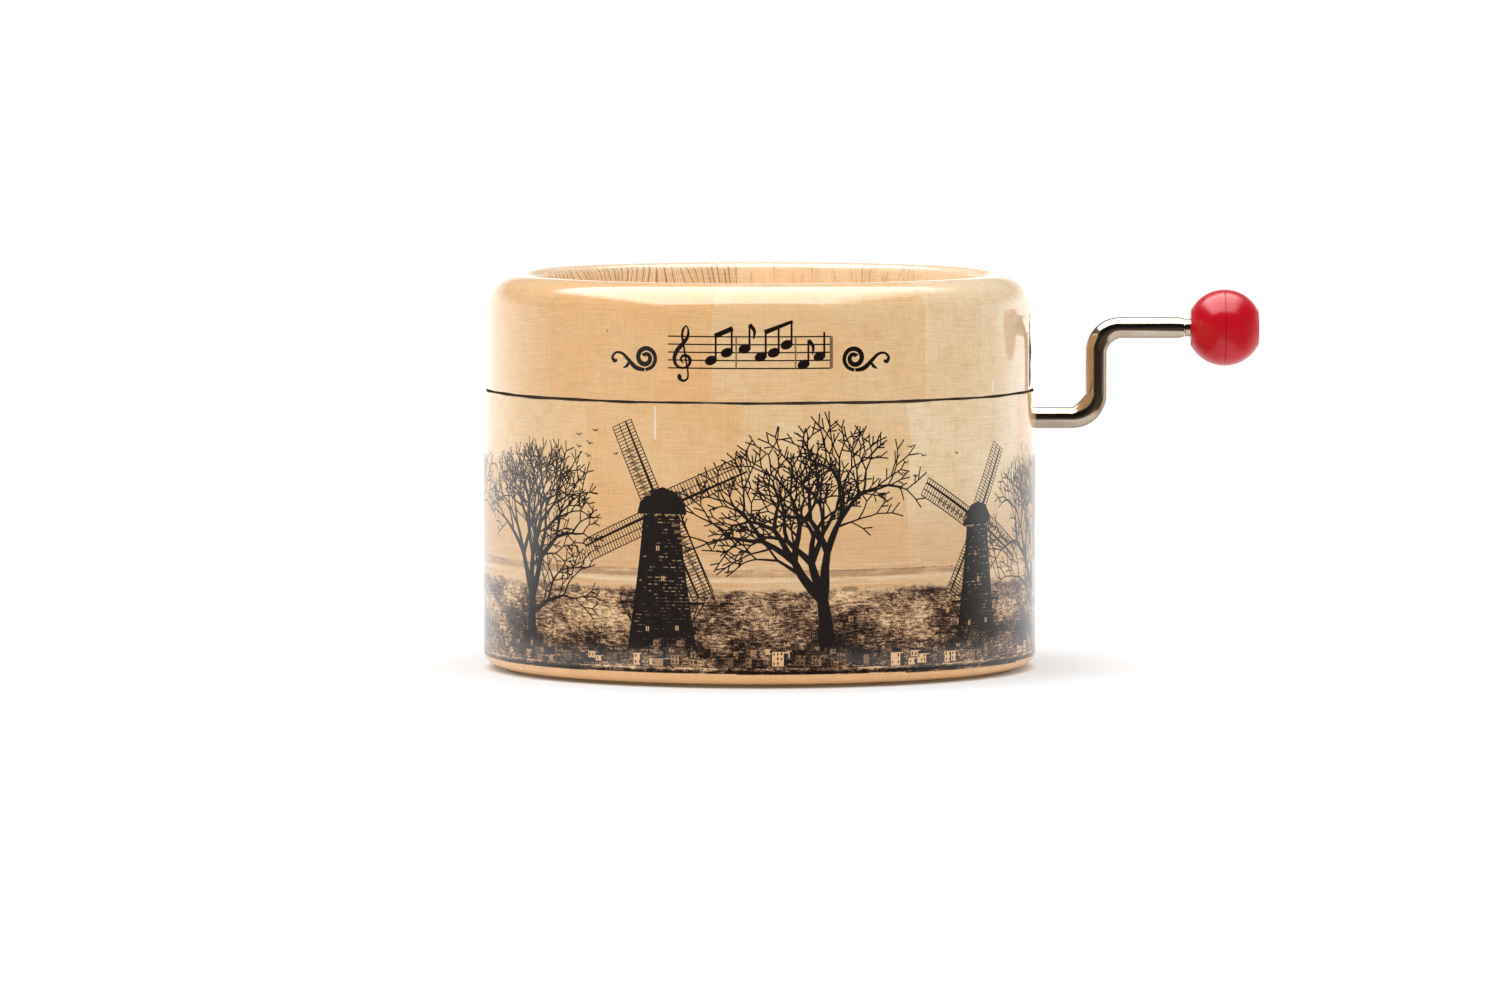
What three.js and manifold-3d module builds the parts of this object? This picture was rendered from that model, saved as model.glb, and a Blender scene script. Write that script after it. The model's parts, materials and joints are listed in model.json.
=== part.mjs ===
// Round cardboard music box with a hand crank.
//
// The box stands on the plane z = 0 with its axis on z. The crank comes out towards +x and the
// printed front faces -y. All sizes are in millimetres.

import * as THREE from 'three';
import { mergeVertices } from 'three/addons/utils/BufferGeometryUtils.js';
import Module from 'manifold-3d';

const wasm = await Module();
wasm.setup();

// Sizes of the box

const bodyDiameter = 70.0;        // over the printed paper
const boxHeight = 50.0;
const seamHeight = 35.4;          // where the lid meets the body
const paperThickness = 0.3;
const glueGap = 0.1;              // between two glued layers
const bodyWall = 2.0;
const bottomEdgeRadius = 1.9;
const bottomTurnIn = 3.0;         // how far the printed paper is folded under the box
const basePaperMargin = 0.5;      // the base paper ends this far inside the rounded edge
const baseBoardThickness = 2.0;
const riserWall = 2.0;
const platformThickness = 3.0;
const neckWall = 1.2;
const neckHeadroom = 0.4;         // between the neck and the lining of the lid
const neckChamfer = 0.4;

// Sizes of the lid

const lidSetback = 0.3;           // the lid is this much smaller all round than the body
const lidClearance = 0.3;         // between the neck and the inside of the lid
const seamRelief = 0.15;          // each printed paper ends this far from the seam
const shoulderRadius = 4.3;       // outer rounding of the padded rim
const rimCrown = 0.1;             // flat ring between the two roundings of the rim
const rimEdgeRadius = 1.0;        // inner rounding of the rim
const lidRecess = 4.8;            // depth of the dished top
const lidTurnIn = 3.0;            // how far the printed paper is folded onto the panel
const lidPanelThickness = 1.2;
const topPaperMargin = 0.2;

// Sizes of the crank

const crankDrop = 4.3;            // crank axis below the seam
const crankBehind = 9.0;          // crank axis behind the axis of the box
const crankThrow = 11.5;
const crankReach = 42.9;          // from the axis of the box to the upright of the crank
const crankBendRadius = 3.0;
const handleLength = 11.2;        // from the upright to the end of the rod
const rodDiameter = 2.6;
const rodChamfer = 0.35;
const rodHoleDiameter = 3.6;      // hole for the rod in the cardboard walls

// Sizes of the knob and its pin

const knobDiameter = 9.7;
const knobWidth = 8.7;            // between the two flats of the ball
const knobGap = 0.8;              // bare pin between the rod and the knob
const pinDiameter = 2.2;
const pinTenonDiameter = 1.4;
const pinTenonLength = 3.0;
const pinHeadDiameter = 3.2;
const pinHeadHeight = 0.5;
const knobBoreClearance = 0.15;
const knobCounterboreDepth = 1.0;
const knobCounterboreClearance = 0.2;

// Sizes of the worm and its wheel

const gearModule = 0.49;
const wheelTeeth = 20;
const wheelWidth = 3.4;
const wheelHubDiameter = 5.2;
const wormPitchDiameter = 4.8;
const wormThreadLength = 8.0;
const pressureAngle = 20 * Math.PI / 180;
const flankClearance = 0.06;      // taken off each flank of worm and wheel
const pressFitGap = 0.1;          // between a pressed-on piece and its shaft
const endPlay = 0.3;              // axial play of each turning piece

// Sizes of the pinned drum

const drumDistance = 10.0;        // drum axis from the axis of the box, towards the crank
const drumDiameter = 13.0;
const drumWall = 0.8;
const drumEndMargin = 0.55;       // sleeve beyond the outer tracks
const drumCapThickness = 2.0;
const arborDiameter = 2.0;
const pinHeight = 0.45;           // pins above the sleeve
const pinWidth = 0.4;
const beatCount = 72;             // places round the drum where a note can start

// Sizes of the comb

const toothCount = 18;
const toothPitch = 1.05;
const toothWidth = 0.8;
const longestTooth = 14.0;
const shortestTooth = 9.5;
const combTipGap = 0.3;           // between the tooth tips and the circle of the pins
const combHeelLength = 8.5;
const combHeelThickness = 2.0;
const toothRootThickness = 0.8;
const toothWaistThickness = 0.5;
const toothTipThickness = 0.7;
const weightedTeeth = 6;          // bass teeth with a lead weight
const weightDepth = 1.2;
const longestWeight = 4.5;
const shortestWeight = 2.0;

// Sizes of the bedplate, the crank bracket and the bearings

const bedHeight = 7.4;
const bedTopThickness = 1.8;
const bedWall = 1.5;
const bedCornerRadius = 3.0;
const bedMargin = 1.75;           // bedplate beyond what stands on it
const axisAboveBed = 0.6;         // drum axis above the top of the bedplate
const windowClearance = 0.6;
const lugThickness = 2.0;
const lugWidth = 7.0;
const lugClearance = 0.4;         // between a lug and its neighbour
const bushDiameter = 3.4;
const bushFlangeDiameter = 4.6;
const bushFlangeThickness = 0.5;
const runningClearance = 0.15;    // shafts in their bearings
const bracketWidth = 6.0;
const bracketSheet = 1.2;
const bracketBend = 1.5;          // outer bend radius of the sheet
const bracketFoot = 5.2;
const bracketClearance = 0.8;     // between the bracket and what turns in it
const archHeight = 3.2;           // openings in the walls of the bedplate
const archWidth = 16.0;

// Sizes of the screws

const screwDiameter = 2.6;
const screwHoleClearance = 0.1;
const screwHeadDiameter = 4.4;
const screwHeadHeight = 1.5;
const screwSlotWidth = 0.6;
const screwSlotDepth = 0.7;
const screwChamfer = 0.3;
const bossDiameter = 5.6;
const platformScrewGrip = 5.0;    // thread in the bosses of the bedplate
const topScrewLength = 4.4;

// Fineness of the round shapes

const boxSegments = 40;
const rodSegments = 12;
const screwSegments = 10;
const knobSegments = 24;
const drumSegments = 32;
const threadSteps = 12;

// Radii and levels that follow from the sizes

const bodyRadius = bodyDiameter / 2;
const bodyBoardRadius = bodyRadius - paperThickness - glueGap;
const bodyInnerRadius = bodyBoardRadius - bodyWall;
const innerFitRadius = bodyInnerRadius - glueGap;
const neckInnerRadius = innerFitRadius - neckWall;
const foldLevel = paperThickness + glueGap;
const boardLevel = foldLevel + paperThickness + glueGap;
const baseTop = boardLevel + baseBoardThickness;

const lidRadius = bodyRadius - lidSetback;
const lidBoardRadius = lidRadius - paperThickness - glueGap;
const lidInnerRadius = innerFitRadius + lidClearance;
const recessRadius = lidRadius - shoulderRadius - rimCrown - rimEdgeRadius;
const panelTop = boxHeight - lidRecess - 2 * (paperThickness + glueGap);
const panelBottom = panelTop - lidPanelThickness;
const liningTop = panelBottom - glueGap;
const liningBottom = liningTop - paperThickness;
const neckTop = liningBottom - neckHeadroom;

const gearPitch = Math.PI * gearModule;
const wheelPitchRadius = gearModule * wheelTeeth / 2;
const wheelTipRadius = wheelPitchRadius + gearModule;
const wheelRootRadius = wheelPitchRadius - 1.25 * gearModule;
const wormPitchRadius = wormPitchDiameter / 2;
const wormTipRadius = wormPitchRadius + gearModule;
const wormRootRadius = wormPitchRadius - 1.25 * gearModule;

const crankHeight = seamHeight - crankDrop;
const drumHeight = crankHeight - wormPitchRadius - wheelPitchRadius;
const drumRadius = drumDiameter / 2;
const pinCircleRadius = drumRadius + pinHeight;
const drumLength = toothCount * toothPitch + 2 * drumEndMargin;
const bracketFront = crankBehind - bracketWidth / 2;
const bracketBack = crankBehind + bracketWidth / 2;
const drumBack = bracketFront - bracketClearance;
const drumFront = drumBack - drumLength;
const drumMiddle = (drumFront + drumBack) / 2;

const bedTop = drumHeight - axisAboveBed;
const platformTop = bedTop - bedHeight;
const platformBottom = platformTop - platformThickness;

const bracketHalfSpan = wheelTipRadius + bracketClearance;
const bracketHalfWidth = bracketHalfSpan + bracketSheet + bracketFoot;
const bracketTop = crankHeight + wormTipRadius + bracketClearance + bracketSheet;

const frontLugBack = drumFront - bushFlangeThickness - endPlay;
const frontLugFront = frontLugBack - lugThickness;
const backLugFront = bracketBack + lugClearance;
const backLugBack = backLugFront + lugThickness;

const combTip = drumDistance - pinCircleRadius - combTipGap;
const combHeelRight = combTip - longestTooth;
const combHeelLeft = combHeelRight - combHeelLength;

const bedLeft = combHeelLeft - bedMargin;
const bedRight = drumDistance + bracketHalfWidth + bedMargin / 4;
const bedFront = frontLugFront - bedMargin / 2;
const bedBack = backLugBack + bedMargin / 2;

const knobStart = crankReach + handleLength + knobGap;
const knobEnd = knobStart + knobWidth;

// Materials

function finish(color, roughness, metalness) {
  return new THREE.MeshStandardMaterial({ color, roughness, metalness });
}

const greyBoard = finish(0x9a8b72, 0.95, 0.0);
const printedPaper = finish(0xb99a6b, 0.45, 0.0);
const plainPaper = finish(0xd8c9a6, 0.8, 0.0);
const fibreboard = finish(0x8d6b48, 0.9, 0.0);
const nickelledSteel = finish(0xb9b5ae, 0.25, 1.0);
const springSteel = finish(0xa9adb0, 0.3, 1.0);
const zincCasting = finish(0x9d9fa0, 0.5, 1.0);
const brass = finish(0xc9a24e, 0.3, 1.0);
const whiteNylon = finish(0xe9e4d6, 0.5, 0.0);
const blackPlastic = finish(0x222222, 0.5, 0.0);
const redPlastic = finish(0xb5141b, 0.35, 0.0);

// Meshes and solids

// Joins shared corners and drops the triangles that have no area.
function weld(geometry) {
  const bare = geometry.clone();
  bare.deleteAttribute('normal');
  bare.deleteAttribute('uv');
  const merged = mergeVertices(bare, 1e-4);
  const old = merged.index.array;
  const kept = [];
  for (let i = 0; i < old.length; i += 3) {
    const [a, b, c] = [old[i], old[i + 1], old[i + 2]];
    if (a !== b && b !== c && c !== a) {
      kept.push(a, b, c);
    }
  }
  merged.setIndex(kept);
  return merged;
}

// Six times the volume inside the triangles, negative when they face inwards.
function signedVolume(geometry) {
  const place = geometry.getAttribute('position');
  const index = geometry.index.array;
  const a = new THREE.Vector3();
  const b = new THREE.Vector3();
  const c = new THREE.Vector3();
  let sum = 0;
  for (let i = 0; i < index.length; i += 3) {
    a.fromBufferAttribute(place, index[i]);
    b.fromBufferAttribute(place, index[i + 1]);
    c.fromBufferAttribute(place, index[i + 2]);
    sum += a.dot(b.cross(c));
  }
  return sum;
}

// A welded geometry whose faces all point outwards.
function closed(geometry) {
  const merged = weld(geometry);
  if (signedVolume(merged) < 0) {
    const index = merged.index.array;
    for (let i = 0; i < index.length; i += 3) {
      [index[i], index[i + 1]] = [index[i + 1], index[i]];
    }
  }
  return merged;
}

function solid(geometry) {
  const merged = closed(geometry);
  const mesh = new wasm.Mesh({
    numProp: 3,
    vertProperties: new Float32Array(merged.getAttribute('position').array),
    triVerts: new Uint32Array(merged.index.array),
  });
  return new wasm.Manifold(mesh);
}

function geometryOf(body) {
  const mesh = body.getMesh();
  const geometry = new THREE.BufferGeometry();
  geometry.setAttribute('position', new THREE.BufferAttribute(mesh.vertProperties, 3));
  geometry.setIndex(new THREE.BufferAttribute(mesh.triVerts, 1));
  return geometry;
}

function joined(geometries) {
  return geometries.map(solid).reduce((sum, next) => sum.add(next));
}

// The first shapes joined, less all the cuts.
function carved(shapes, cuts) {
  let body = joined(shapes);
  for (const cut of cuts) {
    body = body.subtract(solid(cut));
  }
  return geometryOf(body);
}

function piece(name, geometry, material) {
  const shaded = closed(geometry).toNonIndexed();
  shaded.computeVertexNormals();
  const mesh = new THREE.Mesh(shaded, material);
  mesh.name = name;
  return mesh;
}

// Basic shapes

function point(x, y) {
  return new THREE.Vector2(x, y);
}

// Points on an arc in a profile, with angles in degrees.
function arc(centreX, centreY, radius, fromDegrees, toDegrees, steps) {
  const points = [];
  for (let i = 0; i <= steps; i += 1) {
    const angle = THREE.MathUtils.degToRad(fromDegrees + (toDegrees - fromDegrees) * i / steps);
    points.push(point(centreX + radius * Math.cos(angle), centreY + radius * Math.sin(angle)));
  }
  return points;
}

// A profile of radius and height turned about z. A ring's profile closes on itself.
function turned(profile, segments) {
  const onAxis = profile[0].x === 0;
  const points = onAxis ? profile : [...profile, profile[0].clone()];
  return new THREE.LatheGeometry(points, segments).rotateX(Math.PI / 2);
}

function turnedAlongX(profile, segments) {
  return turned(profile, segments).rotateY(Math.PI / 2);
}

function turnedAlongY(profile, segments) {
  return turned(profile, segments).rotateX(-Math.PI / 2);
}

function ringProfile(innerRadius, outerRadius, bottom, top) {
  return [
    point(innerRadius, bottom), point(outerRadius, bottom),
    point(outerRadius, top), point(innerRadius, top),
  ];
}

function discProfile(radius, bottom, top) {
  return [point(0, bottom), point(radius, bottom), point(radius, top), point(0, top)];
}

function block(width, depth, height, x, y, z) {
  return new THREE.BoxGeometry(width, depth, height).translate(x, y, z);
}

function extrudedAlongZ(shape, bottom, top, steps = 1) {
  const options = { depth: top - bottom, steps, bevelEnabled: false, curveSegments: 4 };
  return new THREE.ExtrudeGeometry(shape, options).translate(0, 0, bottom);
}

// The shape's own x and y become x and z.
function extrudedAlongY(shape, front, back) {
  return extrudedAlongZ(shape, 0, back - front).rotateX(Math.PI / 2).translate(0, back, 0);
}

function roundedRectangle(left, right, front, back, radius) {
  const shape = new THREE.Shape();
  const quarter = Math.PI / 2;
  shape.moveTo(left + radius, front);
  shape.lineTo(right - radius, front);
  shape.absarc(right - radius, front + radius, radius, -quarter, 0);
  shape.lineTo(right, back - radius);
  shape.absarc(right - radius, back - radius, radius, 0, quarter);
  shape.lineTo(left + radius, back);
  shape.absarc(left + radius, back - radius, radius, quarter, 2 * quarter);
  shape.lineTo(left, front + radius);
  shape.absarc(left + radius, front + radius, radius, 2 * quarter, 3 * quarter);
  return shape;
}

// Cardboard box

// Cuts the hole for the crank rod through a wall on the +x side.
function rodHole() {
  const profile = discProfile(rodHoleDiameter / 2, neckInnerRadius / 2, bodyRadius + bodyWall);
  return turnedAlongX(profile, rodSegments).translate(0, crankBehind, crankHeight);
}

function bodyTube() {
  const edge = bottomEdgeRadius - paperThickness - glueGap;
  const edgeCentre = bodyRadius - bottomEdgeRadius;
  const profile = [
    point(bodyInnerRadius, boardLevel),
    ...arc(edgeCentre, boardLevel + edge, edge, -90, 0, 3),
    point(bodyBoardRadius, seamHeight),
    point(bodyInnerRadius, seamHeight),
  ];
  return carved([turned(profile, boxSegments)], [rodHole()]);
}

// The printed paper goes round the bottom edge and is folded under the box.
function bodyWrap() {
  const edgeCentre = bodyRadius - bottomEdgeRadius;
  const edgeHeight = foldLevel + bottomEdgeRadius;
  const foldEnd = edgeCentre - bottomTurnIn;
  const top = seamHeight - seamRelief;
  const profile = [
    point(bodyRadius, top),
    ...arc(edgeCentre, edgeHeight, bottomEdgeRadius, 0, -90, 3),
    point(foldEnd, foldLevel),
    point(foldEnd, foldLevel + paperThickness),
    ...arc(edgeCentre, edgeHeight, bottomEdgeRadius - paperThickness, -90, 0, 3),
    point(bodyRadius - paperThickness, top),
  ];
  return carved([turned(profile, boxSegments)], [rodHole()]);
}

function basePaper() {
  const radius = bodyRadius - bottomEdgeRadius - basePaperMargin;
  return turned(discProfile(radius, 0, paperThickness), boxSegments);
}

function baseBoard() {
  return turned(discProfile(innerFitRadius, boardLevel, baseTop), boxSegments);
}

function riserRing() {
  const inner = innerFitRadius - riserWall;
  return turned(ringProfile(inner, innerFitRadius, baseTop, platformBottom), boxSegments);
}

function neckTube() {
  const profile = [
    point(neckInnerRadius, platformTop),
    point(innerFitRadius, platformTop),
    point(innerFitRadius, neckTop - neckChamfer),
    point(innerFitRadius - neckChamfer, neckTop),
    point(neckInnerRadius, neckTop),
  ];
  return carved([turned(profile, boxSegments)], [rodHole()]);
}

// Lid

// Outline of the padded rim, drawn in by inset from the face of the printed paper.
function rimCurve(inset) {
  const shoulderCentre = lidRadius - shoulderRadius;
  const edgeCentre = recessRadius + rimEdgeRadius;
  const crest = boxHeight - shoulderRadius;
  return [
    ...arc(shoulderCentre, crest, shoulderRadius - inset, 0, 90, 5),
    ...arc(edgeCentre, boxHeight - rimEdgeRadius, rimEdgeRadius - inset, 90, 180, 2),
  ];
}

function lidTube() {
  const profile = ringProfile(lidInnerRadius, lidBoardRadius, seamHeight, panelTop);
  return turned(profile, boxSegments);
}

function lidRim() {
  const inset = paperThickness + glueGap;
  const profile = [
    point(lidBoardRadius, panelTop),
    ...rimCurve(inset),
    point(recessRadius + inset, panelTop),
  ];
  return turned(profile, boxSegments);
}

function lidPanel() {
  return turned(discProfile(lidInnerRadius - glueGap, panelBottom, panelTop), boxSegments);
}

// The printed paper goes up the side, over the rim and down into the dished top.
function lidWrap() {
  const bottom = seamHeight + seamRelief;
  const fold = panelTop + glueGap;
  const foldEnd = recessRadius - lidTurnIn;
  const profile = [
    point(lidRadius, bottom),
    ...rimCurve(0),
    point(recessRadius, fold + paperThickness),
    point(foldEnd, fold + paperThickness),
    point(foldEnd, fold),
    point(recessRadius + paperThickness, fold),
    ...rimCurve(paperThickness).reverse(),
    point(lidRadius - paperThickness, bottom),
  ];
  return turned(profile, boxSegments);
}

function lidTopPaper() {
  const bottom = panelTop + paperThickness + 2 * glueGap;
  const profile = discProfile(recessRadius - topPaperMargin, bottom, bottom + paperThickness);
  return turned(profile, boxSegments);
}

function lidLining() {
  const profile = discProfile(lidInnerRadius - glueGap, liningBottom, liningTop);
  return turned(profile, boxSegments);
}

// Screws

const screwHoleRadius = screwDiameter / 2 + screwHoleClearance;

// A pan head screw pointing down, with the underside of its head at z = 0.
function panScrew(length) {
  const shank = screwDiameter / 2;
  const head = screwHeadDiameter / 2;
  const profile = [
    point(0, -length),
    point(shank - screwChamfer, -length),
    point(shank, -length + screwChamfer),
    point(shank, 0),
    point(head, 0),
    point(head, screwHeadHeight / 2),
    point(head * 0.7, screwHeadHeight),
    point(0, screwHeadHeight),
  ];
  const slot = block(
    screwHeadDiameter + screwSlotWidth, screwSlotWidth, screwSlotDepth * 2, 0, 0, screwHeadHeight);
  return carved([turned(profile, screwSegments)], [slot]);
}

function screwHole(x, y, bottom, top) {
  return turned(discProfile(screwHoleRadius, bottom, top), screwSegments).translate(x, y, 0);
}

// Places of the screws

const combScrewInset = combHeelLength / 2;
const combScrewX = combHeelLeft + combScrewInset;
const combScrewSpread = toothCount * toothPitch * 0.28;
const combScrewPlaces = [drumMiddle - combScrewSpread, drumMiddle + combScrewSpread]
  .map((y) => point(combScrewX, y));

const bracketScrewOffset = bracketHalfSpan + bracketSheet + bracketFoot / 2;
const bracketScrewPlaces = [drumDistance - bracketScrewOffset, drumDistance + bracketScrewOffset]
  .map((x) => point(x, crankBehind));

const bossInset = bossDiameter / 2 + bedWall / 2;
const bedScrewPlaces = [
  point(bedLeft + bossInset, bedFront + bossInset),
  point(bedLeft + bossInset, bedBack - bossInset),
  point(bedRight - bossInset, bedFront + bossInset),
];

function platform() {
  const holes = bedScrewPlaces.map((place) => (
    screwHole(place.x, place.y, platformBottom - platformThickness, platformTop + bedHeight)));
  return carved([turned(discProfile(innerFitRadius, platformBottom, platformTop), boxSegments)], holes);
}

// Bedplate

// The opening for the drum, its wheel and the free part of the teeth.
function windowShape() {
  const drumReach = pinCircleRadius + windowClearance;
  const wheelReach = wheelTipRadius + windowClearance;
  const front = frontLugBack;
  const step = drumBack + windowClearance;
  const back = backLugFront;
  const left = combHeelRight + windowClearance;
  const shape = new THREE.Path();
  shape.moveTo(left, front);
  shape.lineTo(drumDistance + drumReach, front);
  shape.lineTo(drumDistance + drumReach, step);
  shape.lineTo(drumDistance + wheelReach, step);
  shape.lineTo(drumDistance + wheelReach, back);
  shape.lineTo(drumDistance - wheelReach, back);
  shape.lineTo(drumDistance - wheelReach, step);
  shape.lineTo(left, step);
  return shape;
}

// A bearing lug: a post with a round top, seen along y.
function lugShape() {
  const half = lugWidth / 2;
  const shape = new THREE.Shape();
  shape.moveTo(drumDistance - half, bedTop - bedTopThickness);
  shape.lineTo(drumDistance + half, bedTop - bedTopThickness);
  shape.lineTo(drumDistance + half, drumHeight);
  shape.absarc(drumDistance, drumHeight, half, 0, Math.PI);
  return shape;
}

function boss(place, bottom) {
  return turned(discProfile(bossDiameter / 2, bottom, bedTop - bedTopThickness / 2), screwSegments)
    .translate(place.x, place.y, 0);
}

function bedplate() {
  const plate = roundedRectangle(bedLeft, bedRight, bedFront, bedBack, bedCornerRadius);
  plate.holes.push(windowShape());
  const skirt = roundedRectangle(bedLeft, bedRight, bedFront, bedBack, bedCornerRadius);
  skirt.holes.push(roundedRectangle(
    bedLeft + bedWall, bedRight - bedWall, bedFront + bedWall, bedBack - bedWall,
    bedCornerRadius - bedWall));
  const shapes = [
    extrudedAlongZ(plate, bedTop - bedTopThickness, bedTop),
    extrudedAlongZ(skirt, platformTop, bedTop - bedTopThickness / 2),
    extrudedAlongY(lugShape(), frontLugFront, frontLugBack),
    extrudedAlongY(lugShape(), backLugFront, backLugBack),
    ...bedScrewPlaces.map((place) => boss(place, platformTop)),
    ...combScrewPlaces.map((place) => boss(place, bedTop - topScrewLength)),
    ...bracketScrewPlaces.map((place) => boss(place, bedTop - topScrewLength)),
  ];

  const overlap = 1.0;
  const bushHole = turnedAlongY(
    discProfile(bushDiameter / 2 + pressFitGap, bedFront - overlap, bedBack + overlap), rodSegments)
    .translate(drumDistance, 0, drumHeight);
  const middleX = (bedLeft + bedRight) / 2;
  const middleY = (bedFront + bedBack) / 2;
  const arches = [
    block(archWidth, bedWall * 4, archHeight * 2, middleX, bedFront, platformTop),
    block(archWidth, bedWall * 4, archHeight * 2, middleX, bedBack, platformTop),
    block(bedWall * 4, archWidth, archHeight * 2, bedLeft, middleY, platformTop),
    block(bedWall * 4, archWidth, archHeight * 2, bedRight, middleY, platformTop),
  ];
  const cuts = [
    bushHole,
    ...arches,
    ...bedScrewPlaces.map((place) => (
      screwHole(place.x, place.y, platformTop - overlap, platformTop + platformScrewGrip))),
    ...[...combScrewPlaces, ...bracketScrewPlaces].map((place) => (
      screwHole(place.x, place.y, platformTop - overlap, bedTop + overlap))),
  ];
  return carved(shapes, cuts);
}

// Tuned comb

function trackY(index) {
  return drumMiddle + (index - (toothCount - 1) / 2) * toothPitch;
}

function toothLength(index) {
  const share = index / (toothCount - 1);
  return longestTooth - (longestTooth - shortestTooth) * Math.pow(share, 0.8);
}

// Seen from above: the heel and the teeth, with a slot between each two teeth.
function combPlan() {
  const half = toothWidth / 2;
  const shape = new THREE.Shape();
  shape.moveTo(combHeelLeft, trackY(0) - half);
  for (let i = 0; i < toothCount; i += 1) {
    shape.lineTo(combTip, trackY(i) - half);
    shape.lineTo(combTip, trackY(i) + half);
    if (i < toothCount - 1) {
      const root = combTip - toothLength(i);
      shape.lineTo(root, trackY(i) + half);
      shape.lineTo(root, trackY(i + 1) - half);
    }
  }
  shape.lineTo(combHeelLeft, trackY(toothCount - 1) + half);
  return shape;
}

// Seen from the side: a thick heel, and teeth ground thin at the waist.
function combSide() {
  const top = bedTop + combHeelThickness;
  const waist = combTip - longestTooth * 0.6;
  const shape = new THREE.Shape();
  shape.moveTo(combHeelLeft, bedTop);
  shape.lineTo(combHeelRight - toothRootThickness, bedTop);
  shape.lineTo(combHeelRight, top - toothRootThickness);
  shape.lineTo(waist, top - toothWaistThickness);
  shape.lineTo(combTip, top - toothTipThickness);
  shape.lineTo(combTip, top);
  shape.lineTo(combHeelLeft, top);
  return shape;
}

function toothWeight(index) {
  const share = index / (weightedTeeth - 1);
  const length = longestWeight - (longestWeight - shortestWeight) * share;
  const right = combTip - toothWidth;
  const top = bedTop + combHeelThickness - toothWaistThickness / 2;
  return block(
    length, toothWidth * 0.9, weightDepth, right - length / 2, trackY(index), top - weightDepth / 2);
}

function comb() {
  const overlap = 1.0;
  const front = trackY(0) - toothPitch;
  const back = trackY(toothCount - 1) + toothPitch;
  const plan = solid(extrudedAlongZ(combPlan(), bedTop - overlap, bedTop + combHeelThickness + overlap));
  const side = solid(extrudedAlongY(combSide(), front, back));
  let body = plan.intersect(side);
  for (let i = 0; i < weightedTeeth; i += 1) {
    body = body.add(solid(toothWeight(i)));
  }
  for (const place of combScrewPlaces) {
    body = body.subtract(solid(screwHole(place.x, place.y, platformTop, bedTop + bedHeight)));
  }
  return geometryOf(body);
}

// Crank bracket

// The bent sheet seen along y: foot, upright, bridge, upright, foot. It is drawn about the drum
// axis, first along its outer face and back along its inner face.
function bracketShape() {
  const inner = bracketHalfSpan;
  const outer = bracketHalfSpan + bracketSheet;
  const end = bracketHalfWidth;
  const innerBend = bracketBend - bracketSheet;
  const quarter = Math.PI / 2;
  const shape = new THREE.Shape();
  shape.moveTo(-end, bedTop);
  shape.lineTo(-inner, bedTop);
  shape.lineTo(-inner, bracketTop - bracketSheet - innerBend);
  shape.absarc(-inner + innerBend, bracketTop - bracketBend, innerBend, 2 * quarter, quarter, true);
  shape.lineTo(inner - innerBend, bracketTop - bracketSheet);
  shape.absarc(inner - innerBend, bracketTop - bracketBend, innerBend, quarter, 0, true);
  shape.lineTo(inner, bedTop);
  shape.lineTo(end, bedTop);
  shape.lineTo(end, bedTop + bracketSheet);
  shape.lineTo(outer, bedTop + bracketSheet);
  shape.lineTo(outer, bracketTop - bracketBend);
  shape.absarc(outer - bracketBend, bracketTop - bracketBend, bracketBend, 0, quarter);
  shape.lineTo(-outer + bracketBend, bracketTop);
  shape.absarc(-outer + bracketBend, bracketTop - bracketBend, bracketBend, quarter, 2 * quarter);
  shape.lineTo(-outer, bedTop + bracketSheet);
  shape.lineTo(-end, bedTop + bracketSheet);
  return shape;
}

function crankBracket() {
  const sheet = extrudedAlongY(bracketShape(), bracketFront, bracketBack)
    .translate(drumDistance, 0, 0);
  const reach = bracketHalfWidth + bracketSheet;
  const rodPassage = turnedAlongX(
    discProfile(rodDiameter / 2 + runningClearance, drumDistance - reach, drumDistance + reach),
    rodSegments).translate(0, crankBehind, crankHeight);
  const holes = bracketScrewPlaces.map((place) => (
    screwHole(place.x, place.y, platformTop, bedTop + bedHeight / 2)));
  return carved([sheet], [rodPassage, ...holes]);
}

// Pinned drum, modelled about its own axis, which is y

function drumSleeve() {
  const tube = turnedAlongY(
    ringProfile(drumRadius - drumWall, drumRadius, drumFront, drumBack), drumSegments);
  const root = drumRadius - drumWall / 2;
  let body = solid(tube);
  for (const note of tune()) {
    const pin = block(pinWidth, pinWidth, pinCircleRadius - root, 0, trackY(note.tooth),
      (pinCircleRadius + root) / 2).rotateY(2 * Math.PI * note.beat / beatCount);
    body = body.add(solid(pin));
  }
  return geometryOf(body);
}

// A made-up tune: a wandering melody over a slow bass. A tooth rests for three beats before it
// is plucked again.
function tune() {
  const rest = 3;
  const lastBeat = new Array(toothCount).fill(-rest - 1);
  const notes = [];
  const play = (tooth, beat) => {
    if (beat - lastBeat[tooth] > rest && beat < beatCount - rest) {
      lastBeat[tooth] = beat;
      notes.push({ tooth, beat });
    }
  };
  for (let beat = 0; beat < beatCount; beat += 1) {
    const melody = 0.62 + 0.24 * Math.sin(beat * 0.47) + 0.12 * Math.sin(beat * 1.9);
    play(Math.round(melody * (toothCount - 1)), beat);
    if (beat % 4 === 0) {
      const bass = 0.14 + 0.12 * Math.sin(beat * 0.21);
      play(Math.round(bass * (toothCount - 1)), beat);
    }
  }
  return notes;
}

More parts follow.
